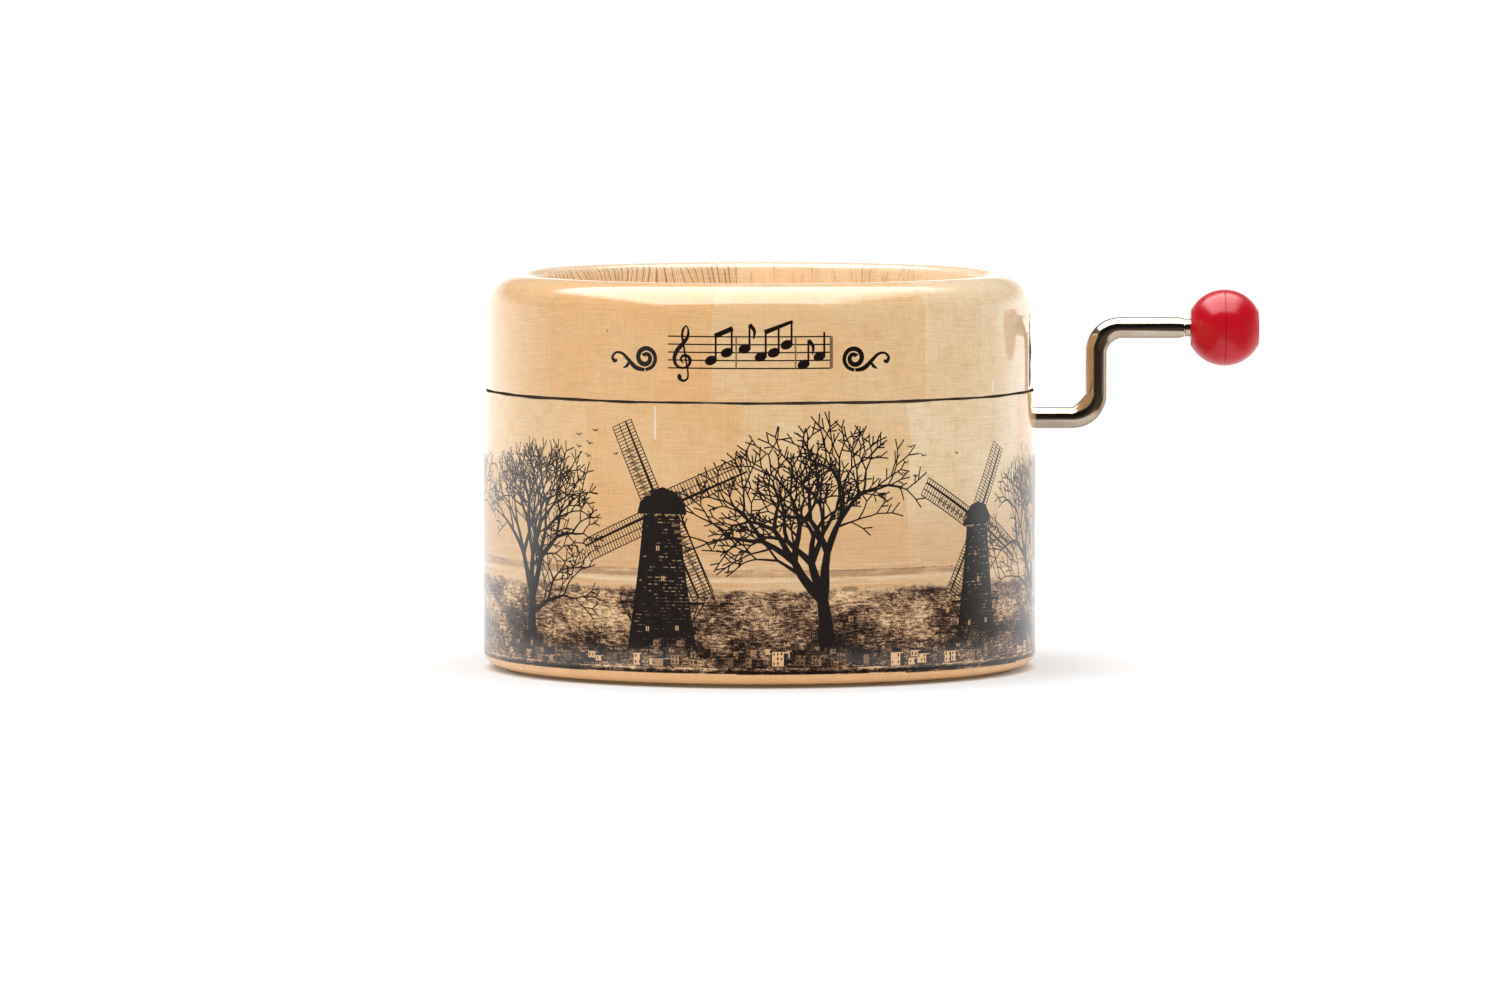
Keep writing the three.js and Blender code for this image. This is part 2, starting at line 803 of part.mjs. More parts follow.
function drumCap(outside, inside) {
  const radius = drumRadius - drumWall - pressFitGap;
  const bore = arborDiameter / 2 + pressFitGap;
  const dish = (outside * 2 + inside) / 3;
  const profile = [
    point(bore, outside), point(radius * 0.45, outside), point(radius * 0.5, dish),
    point(radius * 0.85, dish), point(radius * 0.9, outside), point(radius, outside),
    point(radius, inside), point(bore, inside),
  ];
  return turnedAlongY(profile, drumSegments / 2);
}

function drumArbor() {
  const radius = arborDiameter / 2;
  const front = frontLugFront - endPlay;
  const back = backLugBack + endPlay;
  const chamfer = radius * 0.3;
  const profile = [
    point(0, front), point(radius - chamfer, front), point(radius, front + chamfer),
    point(radius, back - chamfer), point(radius - chamfer, back), point(0, back),
  ];
  return turnedAlongY(profile, rodSegments);
}

// Half the angle that a wheel tooth fills at a radius, for an involute flank.
function halfToothAngle(radius) {
  const involute = (angle) => Math.tan(angle) - angle;
  const baseRadius = wheelPitchRadius * Math.cos(pressureAngle);
  const angle = Math.acos(Math.min(1, baseRadius / radius));
  const atPitch = (gearPitch / 4 - flankClearance) / wheelPitchRadius;
  return atPitch + involute(pressureAngle) - involute(angle);
}

// The worm wheel's teeth follow the slope of the worm's thread. A gap faces the worm at rest.
function wormWheel() {
  const radii = [wheelRootRadius, wheelPitchRadius, wheelTipRadius];
  const shape = new THREE.Shape();
  for (let tooth = 0; tooth < wheelTeeth; tooth += 1) {
    const middle = 2 * Math.PI * (tooth + 0.5) / wheelTeeth + Math.PI / 2;
    const flank = radii.map((radius) => [radius, middle - halfToothAngle(radius)]);
    const other = [...radii].reverse().map((radius) => [radius, middle + halfToothAngle(radius)]);
    for (const [radius, angle] of [...flank, ...other]) {
      const corner = point(radius * Math.cos(angle), radius * Math.sin(angle));
      if (shape.curves.length === 0 && shape.currentPoint.length() === 0) {
        shape.moveTo(corner.x, corner.y);
      } else {
        shape.lineTo(corner.x, corner.y);
      }
    }
  }
  const steps = 2;
  const rim = extrudedAlongZ(shape, -wheelWidth / 2, wheelWidth / 2, steps);
  const slope = gearPitch / (2 * Math.PI * wormPitchRadius);
  const corners = rim.getAttribute('position');
  const axis = new THREE.Vector3(0, 0, 1);
  const corner = new THREE.Vector3();
  for (let i = 0; i < corners.count; i += 1) {
    corner.fromBufferAttribute(corners, i);
    corner.applyAxisAngle(axis, corner.z * slope / wheelPitchRadius);
    corners.setXYZ(i, corner.x, corner.y, corner.z);
  }
  rim.rotateX(Math.PI / 2).translate(0, crankBehind, 0);

  const hubFront = drumBack + pressFitGap;
  const hub = turnedAlongY(
    discProfile(wheelHubDiameter / 2, hubFront, crankBehind), rodSegments);
  const bore = turnedAlongY(
    discProfile(arborDiameter / 2 + pressFitGap, drumFront, bedBack), rodSegments);
  return carved([rim, hub], [bore]);
}

// A flanged bush pressed into a lug. The flange is on the side of the drum.
function drumBush(flangeFace, lugFace, outerFace) {
  const bore = arborDiameter / 2 + runningClearance;
  const profile = [
    point(bore, flangeFace), point(bushFlangeDiameter / 2, flangeFace),
    point(bushFlangeDiameter / 2, lugFace), point(bushDiameter / 2, lugFace),
    point(bushDiameter / 2, outerFace), point(bore, outerFace),
  ];
  return turnedAlongY(profile, rodSegments);
}

// Crank, modelled about its own axis, which is x

// A round bar whose thickness changes along a bent path in the xz plane. Each station is a
// point on the path, the direction there and the radius of the bar.
function bar(stations, segments) {
  const places = [];
  const triangles = [];
  for (const { x, z, angle, radius } of stations) {
    for (let i = 0; i < segments; i += 1) {
      const turn = 2 * Math.PI * i / segments;
      const side = radius * Math.sin(turn);
      places.push(x - side * Math.sin(angle), radius * Math.cos(turn), z + side * Math.cos(angle));
    }
  }
  for (let s = 0; s + 1 < stations.length; s += 1) {
    for (let i = 0; i < segments; i += 1) {
      const next = (i + 1) % segments;
      const [a, b] = [s * segments + i, s * segments + next];
      triangles.push(a, b, a + segments, b, b + segments, a + segments);
    }
  }
  const last = (stations.length - 1) * segments;
  for (let i = 1; i + 1 < segments; i += 1) {
    triangles.push(0, i + 1, i, last, last + i, last + i + 1);
  }
  const geometry = new THREE.BufferGeometry();
  geometry.setAttribute('position', new THREE.Float32BufferAttribute(places, 3));
  geometry.setIndex(triangles);
  return geometry;
}

function crankRod() {
  const radius = rodDiameter / 2;
  const bend = crankBendRadius;
  const start = drumDistance - bracketHalfSpan - bracketSheet - rodDiameter / 2;
  const end = crankReach + handleLength;
  const steps = 6;
  const quarter = Math.PI / 2;
  const stations = [
    { x: start, z: 0, angle: 0, radius: radius - rodChamfer },
    { x: start + rodChamfer, z: 0, angle: 0, radius },
  ];
  for (let i = 0; i <= steps; i += 1) {
    const angle = quarter * i / steps;
    const x = crankReach - bend + bend * Math.sin(angle);
    stations.push({ x, z: bend - bend * Math.cos(angle), angle, radius });
  }
  for (let i = 0; i <= steps; i += 1) {
    const angle = quarter * (1 - i / steps);
    const x = crankReach + bend - bend * Math.sin(angle);
    stations.push({ x, z: crankThrow - bend + bend * Math.cos(angle), angle, radius });
  }
  stations.push({ x: end - rodChamfer * 2, z: crankThrow, angle: 0, radius });
  stations.push({ x: end, z: crankThrow, angle: 0, radius: radius - rodChamfer / 2 });
  const tenonHole = turnedAlongX(
    discProfile(pinTenonDiameter / 2 + pressFitGap, end - pinTenonLength - endPlay, end + radius),
    rodSegments).translate(0, 0, crankThrow);
  return carved([bar(stations, rodSegments)], [tenonHole]);
}

// The thread of the worm: a trapezium carried along a helix, longer than the worm itself.
function wormThread() {
  const turns = Math.ceil(wormThreadLength / gearPitch) + 2;
  const count = turns * threadSteps;
  const atPitch = gearPitch / 4 - flankClearance;
  const root = wormRootRadius - pressFitGap / 2;
  const section = [
    [-atPitch - (wormPitchRadius - root) * Math.tan(pressureAngle), root],
    [-atPitch + gearModule * Math.tan(pressureAngle), wormTipRadius],
    [atPitch - gearModule * Math.tan(pressureAngle), wormTipRadius],
    [atPitch + (wormPitchRadius - root) * Math.tan(pressureAngle), root],
  ];
  const places = [];
  const triangles = [];
  for (let step = 0; step <= count; step += 1) {
    // The crest that faces the wheel lies in the middle of the worm.
    const angle = 2 * Math.PI * (step - count / 2) / threadSteps;
    const along = angle * gearPitch / (2 * Math.PI);
    for (const [offset, radius] of section) {
      const turn = angle - Math.PI / 2;
      places.push(along + offset, radius * Math.cos(turn), radius * Math.sin(turn));
    }
  }
  for (let step = 0; step < count; step += 1) {
    for (let i = 0; i < section.length; i += 1) {
      const next = (i + 1) % section.length;
      const [a, b] = [step * section.length + i, step * section.length + next];
      triangles.push(a, b, a + section.length, b, b + section.length, a + section.length);
    }
  }
  const last = count * section.length;
  triangles.push(0, 2, 1, 0, 3, 2, last, last + 1, last + 2, last, last + 2, last + 3);
  const geometry = new THREE.BufferGeometry();
  geometry.setAttribute('position', new THREE.Float32BufferAttribute(places, 3));
  geometry.setIndex(triangles);
  return geometry.translate(drumDistance, 0, 0);
}

// The worm has a plain hub at each end that runs against the bracket.
function worm() {
  const half = wormThreadLength / 2;
  const hubHalf = bracketHalfSpan - endPlay;
  const bore = rodDiameter / 2 + pressFitGap;
  const envelope = turnedAlongX(
    discProfile(wormTipRadius, drumDistance - half, drumDistance + half), threadSteps * 2);
  const core = turnedAlongX(
    ringProfile(bore, wormRootRadius, drumDistance - hubHalf, drumDistance + hubHalf), threadSteps);
  const passage = turnedAlongX(
    discProfile(bore, drumDistance - hubHalf - endPlay, drumDistance + hubHalf + endPlay), threadSteps);
  const body = solid(wormThread()).intersect(solid(envelope)).add(solid(core));
  return geometryOf(body.subtract(solid(passage)));
}

// Knob and its pin, modelled about the axis of the handle, which is x

function knob() {
  const radius = knobDiameter / 2;
  const half = knobWidth / 2;
  const middle = (knobStart + knobEnd) / 2;
  const bore = pinDiameter / 2 + knobBoreClearance;
  const counterbore = pinHeadDiameter / 2 + knobCounterboreClearance;
  const edge = THREE.MathUtils.radToDeg(Math.asin(half / radius));
  const ball = arc(0, middle, radius, -edge, edge, 10);
  const profile = [
    point(bore, knobStart),
    ...ball,
    point(counterbore, knobEnd),
    point(counterbore, knobEnd - knobCounterboreDepth),
    point(bore, knobEnd - knobCounterboreDepth),
  ];
  return turnedAlongX(profile, knobSegments);
}

function knobPin() {
  const shaft = pinDiameter / 2;
  const tenon = pinTenonDiameter / 2;
  const head = pinHeadDiameter / 2;
  const rodEnd = crankReach + handleLength;
  const headStart = knobEnd - knobCounterboreDepth + knobBoreClearance;
  const profile = [
    point(0, rodEnd - pinTenonLength),
    point(tenon, rodEnd - pinTenonLength),
    point(tenon, rodEnd),
    point(shaft, rodEnd),
    point(shaft, headStart),
    point(head, headStart),
    point(head, headStart + pinHeadHeight / 2),
    point(head * 0.6, headStart + pinHeadHeight),
    point(0, headStart + pinHeadHeight),
  ];
  return turnedAlongX(profile, rodSegments);
}

// The whole music box

const musicBox = new THREE.Group();

const box = new THREE.Group();
box.add(
  piece('base_paper', basePaper(), plainPaper),
  piece('base_board', baseBoard(), greyBoard),
  piece('body_tube', bodyTube(), greyBoard),
  piece('body_wrap', bodyWrap(), printedPaper),
  piece('riser_ring', riserRing(), greyBoard),
  piece('platform', platform(), fibreboard),
  piece('neck_tube', neckTube(), greyBoard),
);

const lid = new THREE.Group();
lid.add(
  piece('lid_tube', lidTube(), greyBoard),
  piece('lid_panel', lidPanel(), greyBoard),
  piece('lid_rim', lidRim(), greyBoard),
  piece('lid_wrap', lidWrap(), printedPaper),
  piece('lid_top_paper', lidTopPaper(), printedPaper),
  piece('lid_lining', lidLining(), plainPaper),
);

const movement = new THREE.Group();
movement.add(
  piece('bedplate', bedplate(), zincCasting),
  piece('comb', comb(), springSteel),
  piece('crank_bracket', crankBracket(), nickelledSteel),
);
combScrewPlaces.forEach((place, i) => {
  const screw = piece(`comb_screw_${i + 1}`, panScrew(topScrewLength), nickelledSteel);
  screw.position.set(place.x, place.y, bedTop + combHeelThickness);
  movement.add(screw);
});
bracketScrewPlaces.forEach((place, i) => {
  const screw = piece(`bracket_screw_${i + 1}`, panScrew(topScrewLength), nickelledSteel);
  screw.position.set(place.x, place.y, bedTop + bracketSheet);
  movement.add(screw);
});
bedScrewPlaces.forEach((place, i) => {
  const length = platformThickness + platformScrewGrip - endPlay;
  const screw = piece(`bed_screw_${i + 1}`, panScrew(length).rotateX(Math.PI), nickelledSteel);
  screw.position.set(place.x, place.y, platformBottom);
  movement.add(screw);
});

const drum = new THREE.Group();
drum.position.set(drumDistance, 0, drumHeight);
drum.add(
  piece('drum_sleeve', drumSleeve(), brass),
  piece('drum_cap_front', drumCap(drumFront + endPlay, drumFront + endPlay + drumCapThickness), blackPlastic),
  piece('drum_cap_back', drumCap(drumBack - endPlay, drumBack - endPlay - drumCapThickness), blackPlastic),
  piece('drum_arbor', drumArbor(), springSteel),
  piece('worm_wheel', wormWheel(), whiteNylon),
);
const bushes = new THREE.Group();
bushes.position.copy(drum.position);
bushes.add(
  piece('drum_bush_front',
    drumBush(frontLugBack + bushFlangeThickness, frontLugBack, frontLugFront), brass),
  piece('drum_bush_back',
    drumBush(backLugFront - bushFlangeThickness, backLugFront, backLugBack), brass),
);

const crank = new THREE.Group();
crank.position.set(0, crankBehind, crankHeight);
crank.add(
  piece('crank_rod', crankRod(), nickelledSteel),
  piece('worm', worm(), brass),
);
const handle = new THREE.Group();
handle.position.set(0, 0, crankThrow);
handle.add(
  piece('knob_pin', knobPin(), nickelledSteel),
  piece('knob', knob(), redPlastic),
);
crank.add(handle);

movement.add(drum, bushes, crank);
musicBox.add(box, lid, movement);

export default musicBox;
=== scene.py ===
import json
import math
import random

import bmesh
import bpy
import numpy as np
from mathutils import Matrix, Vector
from mathutils.geometry import delaunay_2d_cdt


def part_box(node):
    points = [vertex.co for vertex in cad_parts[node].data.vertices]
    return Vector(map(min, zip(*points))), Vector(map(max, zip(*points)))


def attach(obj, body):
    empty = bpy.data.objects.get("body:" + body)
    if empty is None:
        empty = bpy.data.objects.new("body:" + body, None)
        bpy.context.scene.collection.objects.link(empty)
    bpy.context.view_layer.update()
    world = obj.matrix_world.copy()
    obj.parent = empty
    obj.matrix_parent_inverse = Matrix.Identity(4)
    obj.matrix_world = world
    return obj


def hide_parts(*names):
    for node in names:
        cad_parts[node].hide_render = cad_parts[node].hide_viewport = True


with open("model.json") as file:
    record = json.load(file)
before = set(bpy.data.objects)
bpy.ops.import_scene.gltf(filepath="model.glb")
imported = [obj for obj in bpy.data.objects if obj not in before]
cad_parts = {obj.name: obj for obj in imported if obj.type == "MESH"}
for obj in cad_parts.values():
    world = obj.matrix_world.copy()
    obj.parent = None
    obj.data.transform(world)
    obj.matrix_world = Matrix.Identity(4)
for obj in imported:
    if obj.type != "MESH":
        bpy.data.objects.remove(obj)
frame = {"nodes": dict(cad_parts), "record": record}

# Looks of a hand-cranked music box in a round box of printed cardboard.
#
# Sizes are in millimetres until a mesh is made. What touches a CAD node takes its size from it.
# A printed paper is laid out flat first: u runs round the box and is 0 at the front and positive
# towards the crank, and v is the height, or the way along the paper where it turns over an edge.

MM = 0.001
LOW, HIGH = 0, 1
X, Y, Z = 0, 1, 2
QUARTER, TURN = math.pi / 2, 2 * math.pi
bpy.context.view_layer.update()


def both_sides(node, axis):
    """The low and the high side of a CAD node along an axis, in millimetres."""
    return [corner[axis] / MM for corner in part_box(node)]


def side(node, end, axis):
    return both_sides(node, axis)[end]


def middle(node, axis):
    low, high = both_sides(node, axis)
    return (low + high) / 2


def half(node, axis):
    low, high = both_sides(node, axis)
    return (high - low) / 2


# Sizes that several pieces share

BODY_RADIUS = side("body_wrap", HIGH, X)
FOLD_LEVEL, BODY_TOP = both_sides("body_wrap", Z)
LID_RADIUS = side("lid_wrap", HIGH, X)
LID_BOTTOM, LID_TOP = both_sides("lid_wrap", Z)
PAPER = 0.3
BOTTOM_EDGE = 1.9
BOTTOM_TURN_IN = 3.0
SHOULDER = 4.3
RIM_CROWN = 0.1
RIM_EDGE = 1.0
LID_TURN_IN = 3.0
PAPER_GAP = 0.1
LID_FOLD_LEVEL = side("lid_panel", HIGH, Z) + PAPER_GAP
RECESS_RADIUS = LID_RADIUS - SHOULDER - RIM_CROWN - RIM_EDGE

CRANK_Y = middle("crank_rod", Y)
ROD_RADIUS = half("crank_rod", Y)
CRANK_Z = side("crank_rod", LOW, Z) + ROD_RADIUS
HANDLE_Z = side("crank_rod", HIGH, Z) - ROD_RADIUS
ROD_HOLE_RADIUS = 1.8

# Where the ends of each printed paper overlap, as an angle from the front
BODY_JOINT = math.radians(79.2)
LID_JOINT = math.radians(77.8)
JOINT_STEP = 0.16
# From thread to thread of the linen texture
THREAD_PITCH = 0.4

# The lid's paper as it goes from the shoulder over the crown of the rim
RIM_START = LID_RADIUS - SHOULDER
SHOULDER_END = LID_TOP - SHOULDER + SHOULDER * QUARTER
RIM_TOP_V = SHOULDER_END + RIM_CROWN
LID_PAPER_END = RIM_TOP_V + LID_TOP - LID_FOLD_LEVEL + LID_TURN_IN + 1


# Colours


def screen(red, green, blue):
    """A colour of 0 to 255 as seen on a screen, in linear light."""
    linear = [
        c / 255 / 12.92 if c <= 10 else ((c / 255 + 0.055) / 1.055) ** 2.4
        for c in (red, green, blue)
    ]
    return (*linear, 1.0)


def grey(level):
    return (level, level, level, 1)


TAN_DEEP = screen(226, 178, 124)
TAN = screen(226, 190, 143)
TAN_PALE = screen(231, 207, 171)
TAN_STAIN = screen(205, 156, 104)
HORIZON = screen(213, 168, 122)
FAR_HILLS = screen(158, 118, 92)
GROUND_MIDDLE = screen(122, 91, 71)
GROUND_TONES = [
    (0.14, screen(22, 14, 11)),
    (0.34, screen(66, 45, 35)),
    (0.50, GROUND_MIDDLE),
    (0.68, screen(186, 145, 109)),
    (0.86, screen(240, 203, 156)),
]
HOUSE_WALL = screen(236, 192, 142)
HOUSE_SHADE = screen(158, 120, 88)
PLAIN_BAND = screen(244, 193, 139)
PRINT_INK = screen(27, 20, 20)
WORN_INK = screen(42, 32, 29)
ORNAMENT_INK = screen(26, 11, 6)
PRINT_WHITE = screen(246, 238, 222)
# Painted shade in the creases, with the brown of the film's cracks
CREASE_SHADE_AND_CRACKS = screen(138, 82, 40)
# The wall inside the lid's rim, painted lighter than its paper as painted light, palest at the top
RIM_PALE_PAINTED_LIGHT = screen(255, 236, 204)
RIM_TAN = screen(246, 210, 160)
HARDBOARD = screen(126, 88, 54)


class Finish:
    """A material that is painted by adding nodes one by one. Patterns are in millimetres."""

    def __init__(self, name, **shader):
        self.material = bpy.data.materials.new(name)
        self.material.use_nodes = True
        self.tree = self.material.node_tree
        self.shader = self.tree.nodes["Principled BSDF"]
        for socket, value in shader.items():
            self.set(socket.replace("_", " "), value)

    def join(self, socket, value):
        if isinstance(value, bpy.types.NodeSocket):
            self.tree.links.new(value, socket)
        else:
            socket.default_value = value

    def set(self, socket, value):
        """Gives one of the shader's sockets a value or a pattern."""
        self.join(self.shader.inputs[socket], value)

    def add(self, kind, inputs, **settings):
        node = self.tree.nodes.new("ShaderNode" + kind)
        for name, value in settings.items():
            setattr(node, name, value)
        for socket, value in inputs.items():
            self.join(node.inputs[socket], value)
        return node

    def place(self, stretch=(1, 1, 1), paper=False):
        """Where a point is in millimetres, on the piece or on its flat paper, then stretched."""
        if paper:
            source = self.add("UVMap", {}, uv_map="paper").outputs[0]
            scale = stretch
        else:
            source = self.add("TexCoord", {}).outputs["Object"]
            scale = [s / MM for s in stretch]
        return self.add("VectorMath", {0: source, 1: scale}, operation="MULTIPLY").outputs[0]

    def axes(self, place):
        return self.add("SeparateXYZ", {0: place}).outputs

    def math(self, operation, *values, clamp=False):
        inputs = dict(enumerate(values))
        return self.add("Math", inputs, operation=operation, use_clamp=clamp).outputs[0]

    def plus(self, base, pattern, share=None):
        """A base and a pattern, or a share of it, on top."""
        if share is None:
            return self.math("ADD", base, pattern)
        return self.math("MULTIPLY_ADD", pattern, share, base)

    def total(self, base, *parts):
        """A base with (pattern, share) and so on added in turn."""
        for part in parts:
            base = self.plus(base, *part)
        return base

    def noise(self, scale, detail=3, roughness=0.5, place=None):
        inputs = {"Vector": place or self.place(), "Scale": scale, "Detail": detail,
                  "Roughness": roughness}
        return self.add("TexNoise", inputs).outputs["Fac"]

    def streaks(self, across, along, detail, roughness):
        """Noise on the flat paper that is stretched round the box or upwards."""
        return self.noise(1.0, detail, roughness, self.place((across, along, 1), paper=True))

    def spread(self, value, low, high, to_low=0.0, to_high=1.0, smooth=False):
        """A value carried from one range to another and held at its ends."""
        inputs = {
            "Value": value, "From Min": low, "From Max": high, "To Min": to_low, "To Max": to_high
        }
        kind = "SMOOTHSTEP" if smooth else "LINEAR"
        return self.add("MapRange", inputs, interpolation_type=kind).outputs[0]

    def within(self, base, *spread):
        """A base only as far as a pattern lets it through: value, low, high and so on."""
        return self.math("MULTIPLY", base, self.spread(*spread))

    def mix(self, share, first, second, blend="MIX"):
        node = self.add("Mix", {}, data_type="RGBA", blend_type=blend)
        for socket, value in ((0, share), (6, first), (7, second)):
            self.join(node.inputs[socket], value)
        return node.outputs[2]

    def over(self, colour, other, *spread, smooth=False):
        """A colour with another over it as far as a pattern says: value, low, high and so on."""
        return self.mix(self.spread(*spread, smooth=smooth), colour, other)

    def ramp(self, share, stops):
        node = self.add("ValToRGB", {0: share})
        points = node.color_ramp.elements
        while len(points) < len(stops):
            points.new(0.5)
        for point, (place, colour) in zip(points, stops):
            point.position = place
            point.color = colour
        return node.outputs[0]

    def attribute(self, name):
        return self.add("Attribute", {}, attribute_name=name).outputs["Fac"]

    def bump(self, height, distance):
        """Raises the surface by a height of 0 to 1 times a distance in millimetres."""
        inputs = {"Height": height, "Distance": distance * MM, "Strength": 1.0}
        socket = self.shader.inputs["Normal"]
        if socket.is_linked:
            inputs["Normal"] = socket.links[0].from_socket
        self.set("Normal", self.add("Bump", inputs).outputs[0])


# Finishes


def printed_paper(name, motif, ink, worn_ink, seam_v):
    """Antique tan print on linen-textured paper under a gloss film, worn along the seam."""
    paint = Finish(name, Specular_IOR_Level=0.1, Coat_IOR=1.65, Coat_Roughness=0.07)
    flat = paint.place(paper=True)
    u, v, _ = paint.axes(flat)

    blotch = paint.noise(0.09, 5, 0.62, flat)
    tint = paint.plus(paint.attribute("tint"), paint.spread(blotch, 0.3, 0.7, -0.22, 0.22))
    colour = paint.ramp(tint, [(0.1, TAN_DEEP), (0.5, TAN), (0.95, TAN_PALE)])
    colour = paint.over(colour, TAN_STAIN, paint.noise(0.42, 6, 0.7, flat), 0.49, 0.78, 0.0, 0.5)
    colour, creases = motif(paint, u, v, colour)

    pale = paint.attribute("pale")
    for shade, low, high in ((HOUSE_SHADE, 0.0, 0.3), (HOUSE_WALL, 0.3, 0.7),
                             (PRINT_WHITE, 0.75, 0.95)):
        colour = paint.over(colour, shade, pale, low, high)
    faded = paint.over(ink, worn_ink, paint.noise(1.6, 6, 0.85, flat), 0.46, 0.76)
    colour = paint.mix(paint.attribute("ink"), colour, faded)
    from_seam = paint.math("ABSOLUTE", paint.math("SUBTRACT", v, seam_v))
    worn = paint.plus(from_seam, paint.streaks(0.55, 2.5, 5, 0.7), 0.9)
    colour = paint.over(colour, PRINT_WHITE, worn, 0.47, 0.39)

    grain = paint.noise(3.4, 3, 0.65, flat)
    turn = TURN / THREAD_PITCH
    across = paint.math("SINE", paint.math("MULTIPLY", u, turn))
    along = paint.math("SINE", paint.math("MULTIPLY", v, turn))
    weft = paint.streaks(0.3, 3.2, 3, 0.65)
    warp = paint.streaks(3.2, 0.3, 3, 0.65)
    weave = paint.plus(0.5, paint.plus(along, across, 0.6), 0.3)
    shade = paint.total(
        0.81, (paint.spread(grain, 0.25, 0.75), 0.12), (weave, 0.06),
        (paint.spread(weft, 0.3, 0.7), 0.17), (paint.spread(warp, 0.3, 0.7), 0.10))
    specks = paint.add("TexVoronoi", {"Vector": flat, "Scale": 0.17, "Randomness": 1.0})
    shade = paint.within(shade, specks.outputs["Distance"], 0.018, 0.026, 0.3, 1.0)
    shaded = paint.add("CombineColor", {0: shade, 1: shade, 2: shade}).outputs[0]
    paint.set("Base Color", paint.mix(1.0, colour, shaded, blend="MULTIPLY"))

    paint.set("Roughness", paint.spread(grain, 0.2, 0.8, 0.45, 0.62))
    # a bare edge, where pale is below 0, such as the painted shadow at the joint, has no film
    paint.set("Coat Weight", paint.spread(pale, -0.9, -0.1, 0.0, 0.95))
    paint.bump(paint.noise(0.16, 3, 0.5, flat), 0.10)
    paint.bump(weave, 0.010)
    paint.bump(grain, 0.010)
    if creases:
        paint.bump(creases, -0.12)
    return paint.material


def creased_rim(paint, u, v, colour):
    """The wall inside the lid's rim, where the paper is drawn in: painted light, palest at its top.
    """
    creases = rim_creases(paint, u, v)
    inside = paint.spread(v, RIM_TOP_V - 0.5, RIM_TOP_V + 1.5, 0.0, 0.85)
    inside = paint.within(inside, v, LID_PAPER_END + 4, LID_PAPER_END)
    # painted light: the recess wall is painted lighter, and palest just below the crest
    wall = paint.over(RIM_PALE_PAINTED_LIGHT, RIM_TAN, v, RIM_TOP_V + 1.2, RIM_TOP_V + 4.8)
    # painted highlight: pale streaks along the wall
    wall = paint.over(wall, PRINT_WHITE, paint.streaks(0.9, 0.06, 4, 0.75), 0.5, 0.66, 0.0, 0.6)
    colour = paint.mix(inside, colour, wall)
    # the creases get painted shade and the brown of the film's cracks
    return paint.mix(creases, colour, CREASE_SHADE_AND_CRACKS), creases


def rim_creases(paint, u, v):
    """Fine slanting creases where the lid's paper is drawn in over its rim, in clusters."""
    down = paint.math("MAXIMUM", paint.math("SUBTRACT", v, RIM_TOP_V), 0.0)
    lean = paint.spread(paint.streaks(0.06, 0.0, 2, 0.6), 0.35, 0.65, -0.7, 0.7)
    lean = paint.plus(lean, paint.spread(u, -125.0, -100.0, -0.3, 0.45))
    across = paint.plus(u, down, lean)
    across = paint.plus(across, paint.streaks(0.5, 0.4, 2, 0.6), 0.45)
    cluster = paint.streaks(0.14, 0.04, 4, 0.75)
    cluster = paint.plus(cluster, paint.spread(u, -112.0, -98.0, -0.05, 0.13))
    deep = paint.spread(cluster, 0.44, 0.56)
    start = paint.plus(paint.math("SUBTRACT", down, 2.2), paint.streaks(1.3, 0.0, 2, 0.6), 4.0)
    deep = paint.within(deep, start, 0.0, 1.2)
    deep = paint.within(deep, v, LID_PAPER_END, LID_PAPER_END - 1)
    deep = paint.within(deep, v, RIM_TOP_V - 0.8, RIM_TOP_V + 0.4)
    lines = 0.0
    for count, share in ((0.95, 0.8), (3.0, 0.5)):
        folds = paint.add("TexVoronoi", {"W": across, "Scale": count, "Randomness": 0.9},
                          voronoi_dimensions="1D", feature="DISTANCE_TO_EDGE").outputs["Distance"]
        line = paint.spread(folds, 0.0, 0.12, share, 0.0, smooth=True)
        lines = paint.math("MAXIMUM", line, lines)
    return paint.math("MULTIPLY", lines, deep)


